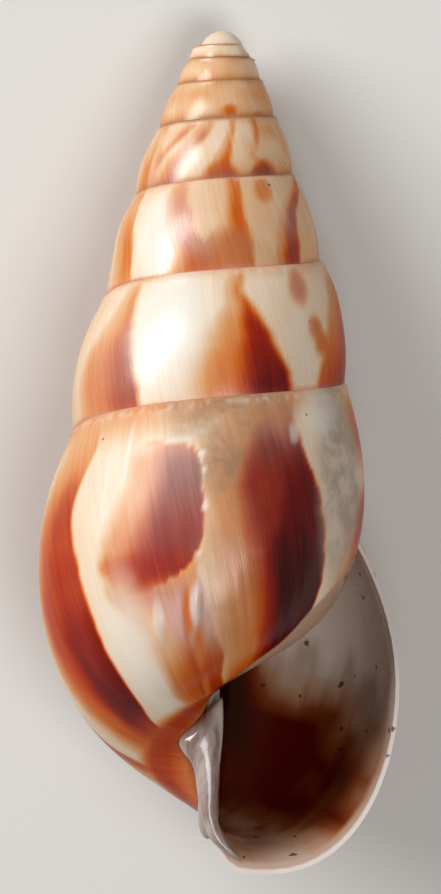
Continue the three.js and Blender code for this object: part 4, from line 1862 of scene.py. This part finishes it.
@dataclass(frozen=True)
class LiningFinish:
    """Smooth tan lining that browns and darkens inwards, partly in painted shade, with the flames showing
    through.
    """

    shine: Colour = (110, 62, 40)
    shine_from: Span = (0.35, 1.0)
    shine_share: Span = (0.0, 0.22)
    streak: Colour = (205, 190, 185)
    streaks: GrowthStreaks = GrowthStreaks(pitch=0.5, reach=6.0)
    streak_end: Span = (0.3, 0.8)
    streak_share: Span = (0.08, 0.0)
    dirt: Colour = (44, 26, 16)
    grime: GrimeSpecks = GrimeSpecks(cells=1000.0, share=0.45, size=0.22)
    grime_share: float = 0.8
    smear: Span = (0.3, 0.7)
    roughness: Span = (0.25, 0.42)

    def material(self) -> bpy.types.Material:
        """Make the material, whose streaks fade as it browns and darkens.

        Returns:
            The material.
        """
        name = "shell_lining"
        board, shader = new_material(name, Specular_IOR_Level=0.1)
        lines, grime = self.streaks.place(board), self.grime.place(board)
        shine = board.ranged(board.value("pigment"), self.shine_from, self.shine_share)
        colour = board.blend(shine, LiningColours().place(board), linear(self.shine))
        fading = board.ranged(board.value("brown_and_shade"), self.streak_end, self.streak_share)
        colour = board.blend(board.math("MULTIPLY", lines["Streak"], fading), colour, linear(self.streak))
        dirt = board.math("MULTIPLY", grime["Speck"], self.grime_share)
        board.feed(shader.inputs["Base Color"], board.blend(dirt, colour, linear(self.dirt)))
        board.feed(shader.inputs["Roughness"], board.ranged(grime["Smear"], self.smear, self.roughness))
        return bpy.data.materials[name]


@dataclass(frozen=True)
class TurnedLipFinish:
    """Glossy white to lilac enamel of the lip turned back over the pillar."""

    pale: Colour = (190, 176, 166)
    lilac: Colour = (116, 86, 78)
    streaks: GrowthStreaks = GrowthStreaks(pitch=0.3, reach=3.0)
    relief: Span = (0.3, 0.7)
    roughness: Span = (0.18, 0.3)

    def material(self) -> bpy.types.Material:
        """Make the material, streaked across the lip.

        Returns:
            The material.
        """
        name = "shell_turned_lip"
        board, shader = new_material(name, Coat_Weight=0.9, Coat_Roughness=0.12, IOR=1.5)
        lines = self.streaks.place(board)
        colour = board.blend(lines["Streak"], linear(self.pale), linear(self.lilac))
        board.feed(shader.inputs["Base Color"], colour)
        board.feed(shader.inputs["Roughness"], board.ranged(lines["Relief"], self.relief, self.roughness))
        return bpy.data.materials[name]


@dataclass(frozen=True)
class SoftLight:
    """Area light that looks at the shell from a direction, with its sizes in metres."""

    name: str
    direction: tuple[float, float, float]
    distance: float
    width: float
    height: float
    watts: float

    def hang(self, aim: Vector) -> None:
        """Put the light up.

        Args:
            aim: Point that it looks at.
        """
        lamp = bpy.data.lights.new(self.name, "AREA")
        lamp.shape, lamp.size, lamp.size_y = "RECTANGLE", self.width, self.height
        lamp.energy = self.watts
        holder = bpy.data.objects.new(self.name, lamp)
        way = Vector(self.direction).normalized()
        holder.location = aim + way * self.distance
        holder.rotation_euler = way.to_track_quat("Z", "Y").to_euler()
        bpy.context.collection.objects.link(holder)


@dataclass(frozen=True)
class Studio:
    """Pale floor, soft lights and the camera that looks down on the mouth."""

    floor_width: float = 3.0
    floor_colour: Colour = (214, 212, 208)
    sky: float = 0.15
    lights: tuple[SoftLight, ...] = (
        SoftLight("key", (-0.74, 0.5, 0.54), 0.4, 0.3, 0.17, 1.65),
        SoftLight("fill", (0.3, -0.2, 1.0), 0.6, 0.3, 0.3, 1.6),
    )
    image_height: int = 894
    pixel_mm: float = 0.0532
    camera_distance_mm: float = 1000.0
    camera_dip: float = 0.0695
    camera_roll: float = 0.0184
    centre_height: float = -21.28
    centre_right_px: float = 5.26
    centre_up_px: float = -15.64
    sensor: float = 36.0
    clip: Span = (0.01, 10.0)

    def floor(self) -> None:
        """Lay the floor with its pale matt material."""
        half = 0.5 * self.floor_width
        corners = [(-half, -half, 0.0), (half, -half, 0.0), (half, half, 0.0), (-half, half, 0.0)]
        mesh = bpy.data.meshes.new("floor")
        mesh.from_pydata(corners, [], [(0, 1, 2, 3)])
        _, shader = new_material("pale_floor", Roughness=0.9)
        shader.inputs["Base Color"].default_value = linear(self.floor_colour)
        mesh.materials.append(bpy.data.materials["pale_floor"])
        floor = bpy.data.objects.new("floor", mesh)
        bpy.context.collection.objects.link(floor)

    def light(self) -> None:
        """Hang the lights and set an even sky."""
        low, high = CAD_BOX
        aim = 0.5 * (Vector(low) + Vector(high))
        for lamp in self.lights:
            lamp.hang(aim)
        world = bpy.data.worlds.new("even_sky")
        world.use_nodes = True
        backdrop = world.node_tree.nodes["Background"]
        backdrop.inputs["Color"].default_value = (1.0, 1.0, 1.0, 1.0)
        backdrop.inputs["Strength"].default_value = self.sky
        bpy.context.scene.world = world
        bpy.context.scene.view_settings.view_transform = "Standard"

    def camera(self, lie: Lie) -> None:
        """Set the camera where the photograph was taken from.

        In coil coordinates it looks along +y, dipped a little towards the apex and rolled. The
        lens is long, because the shell shows little perspective.

        Args:
            lie: How coil coordinates lie in the row frame.
        """
        dip, roll = self.camera_dip, self.camera_roll
        side = np.array([1.0, 0.0, 0.0])
        rise = np.array([0.0, -math.sin(dip), math.cos(dip)])
        back = np.array([0.0, -math.cos(dip), -math.sin(dip)])
        right = math.cos(roll) * side + math.sin(roll) * rise
        up = math.cos(roll) * rise - math.sin(roll) * side
        shift = (self.centre_right_px * right + self.centre_up_px * up) * self.pixel_mm
        target = np.array([0.0, 0.0, self.centre_height]) + shift
        spot = lie.place(target + back * self.camera_distance_mm)
        axes = lie.rotation() @ np.stack([right, up, back], axis=1)
        lens = bpy.data.cameras.new("photo_camera")
        span = self.pixel_mm * self.image_height
        lens.sensor_width = self.sensor
        lens.lens = self.sensor * self.camera_distance_mm / span
        lens.clip_start, lens.clip_end = self.clip
        holder = bpy.data.objects.new("photo_camera", lens)
        holder.matrix_world = Matrix.Translation(Vector(spot)) @ Matrix(axes.tolist()).to_4x4()
        bpy.context.collection.objects.link(holder)
        bpy.context.scene.camera = holder


def main() -> None:
    """Build the shell, dress it, light it, set the camera and log the shell's face count."""
    shell = Shell()
    tones = (GROUND_TONE, SHOULDER_TONE, SHOULDER_DEPTH, GLAZE_LINE)
    piece = shell.build(Markings(FRONT_FLAMES, FRONT_STAINS, *tones))
    shell.dress(piece)
    LOG.info("%s: %d faces", piece.name, len(piece.data.polygons))
    studio = Studio()
    studio.floor()
    studio.light()
    studio.camera(shell.lie)
    LOG.info("floor, lights and camera set")


if __name__ == "__main__":
    logging.basicConfig(level=logging.INFO, format="%(name)s: %(message)s")
    main()
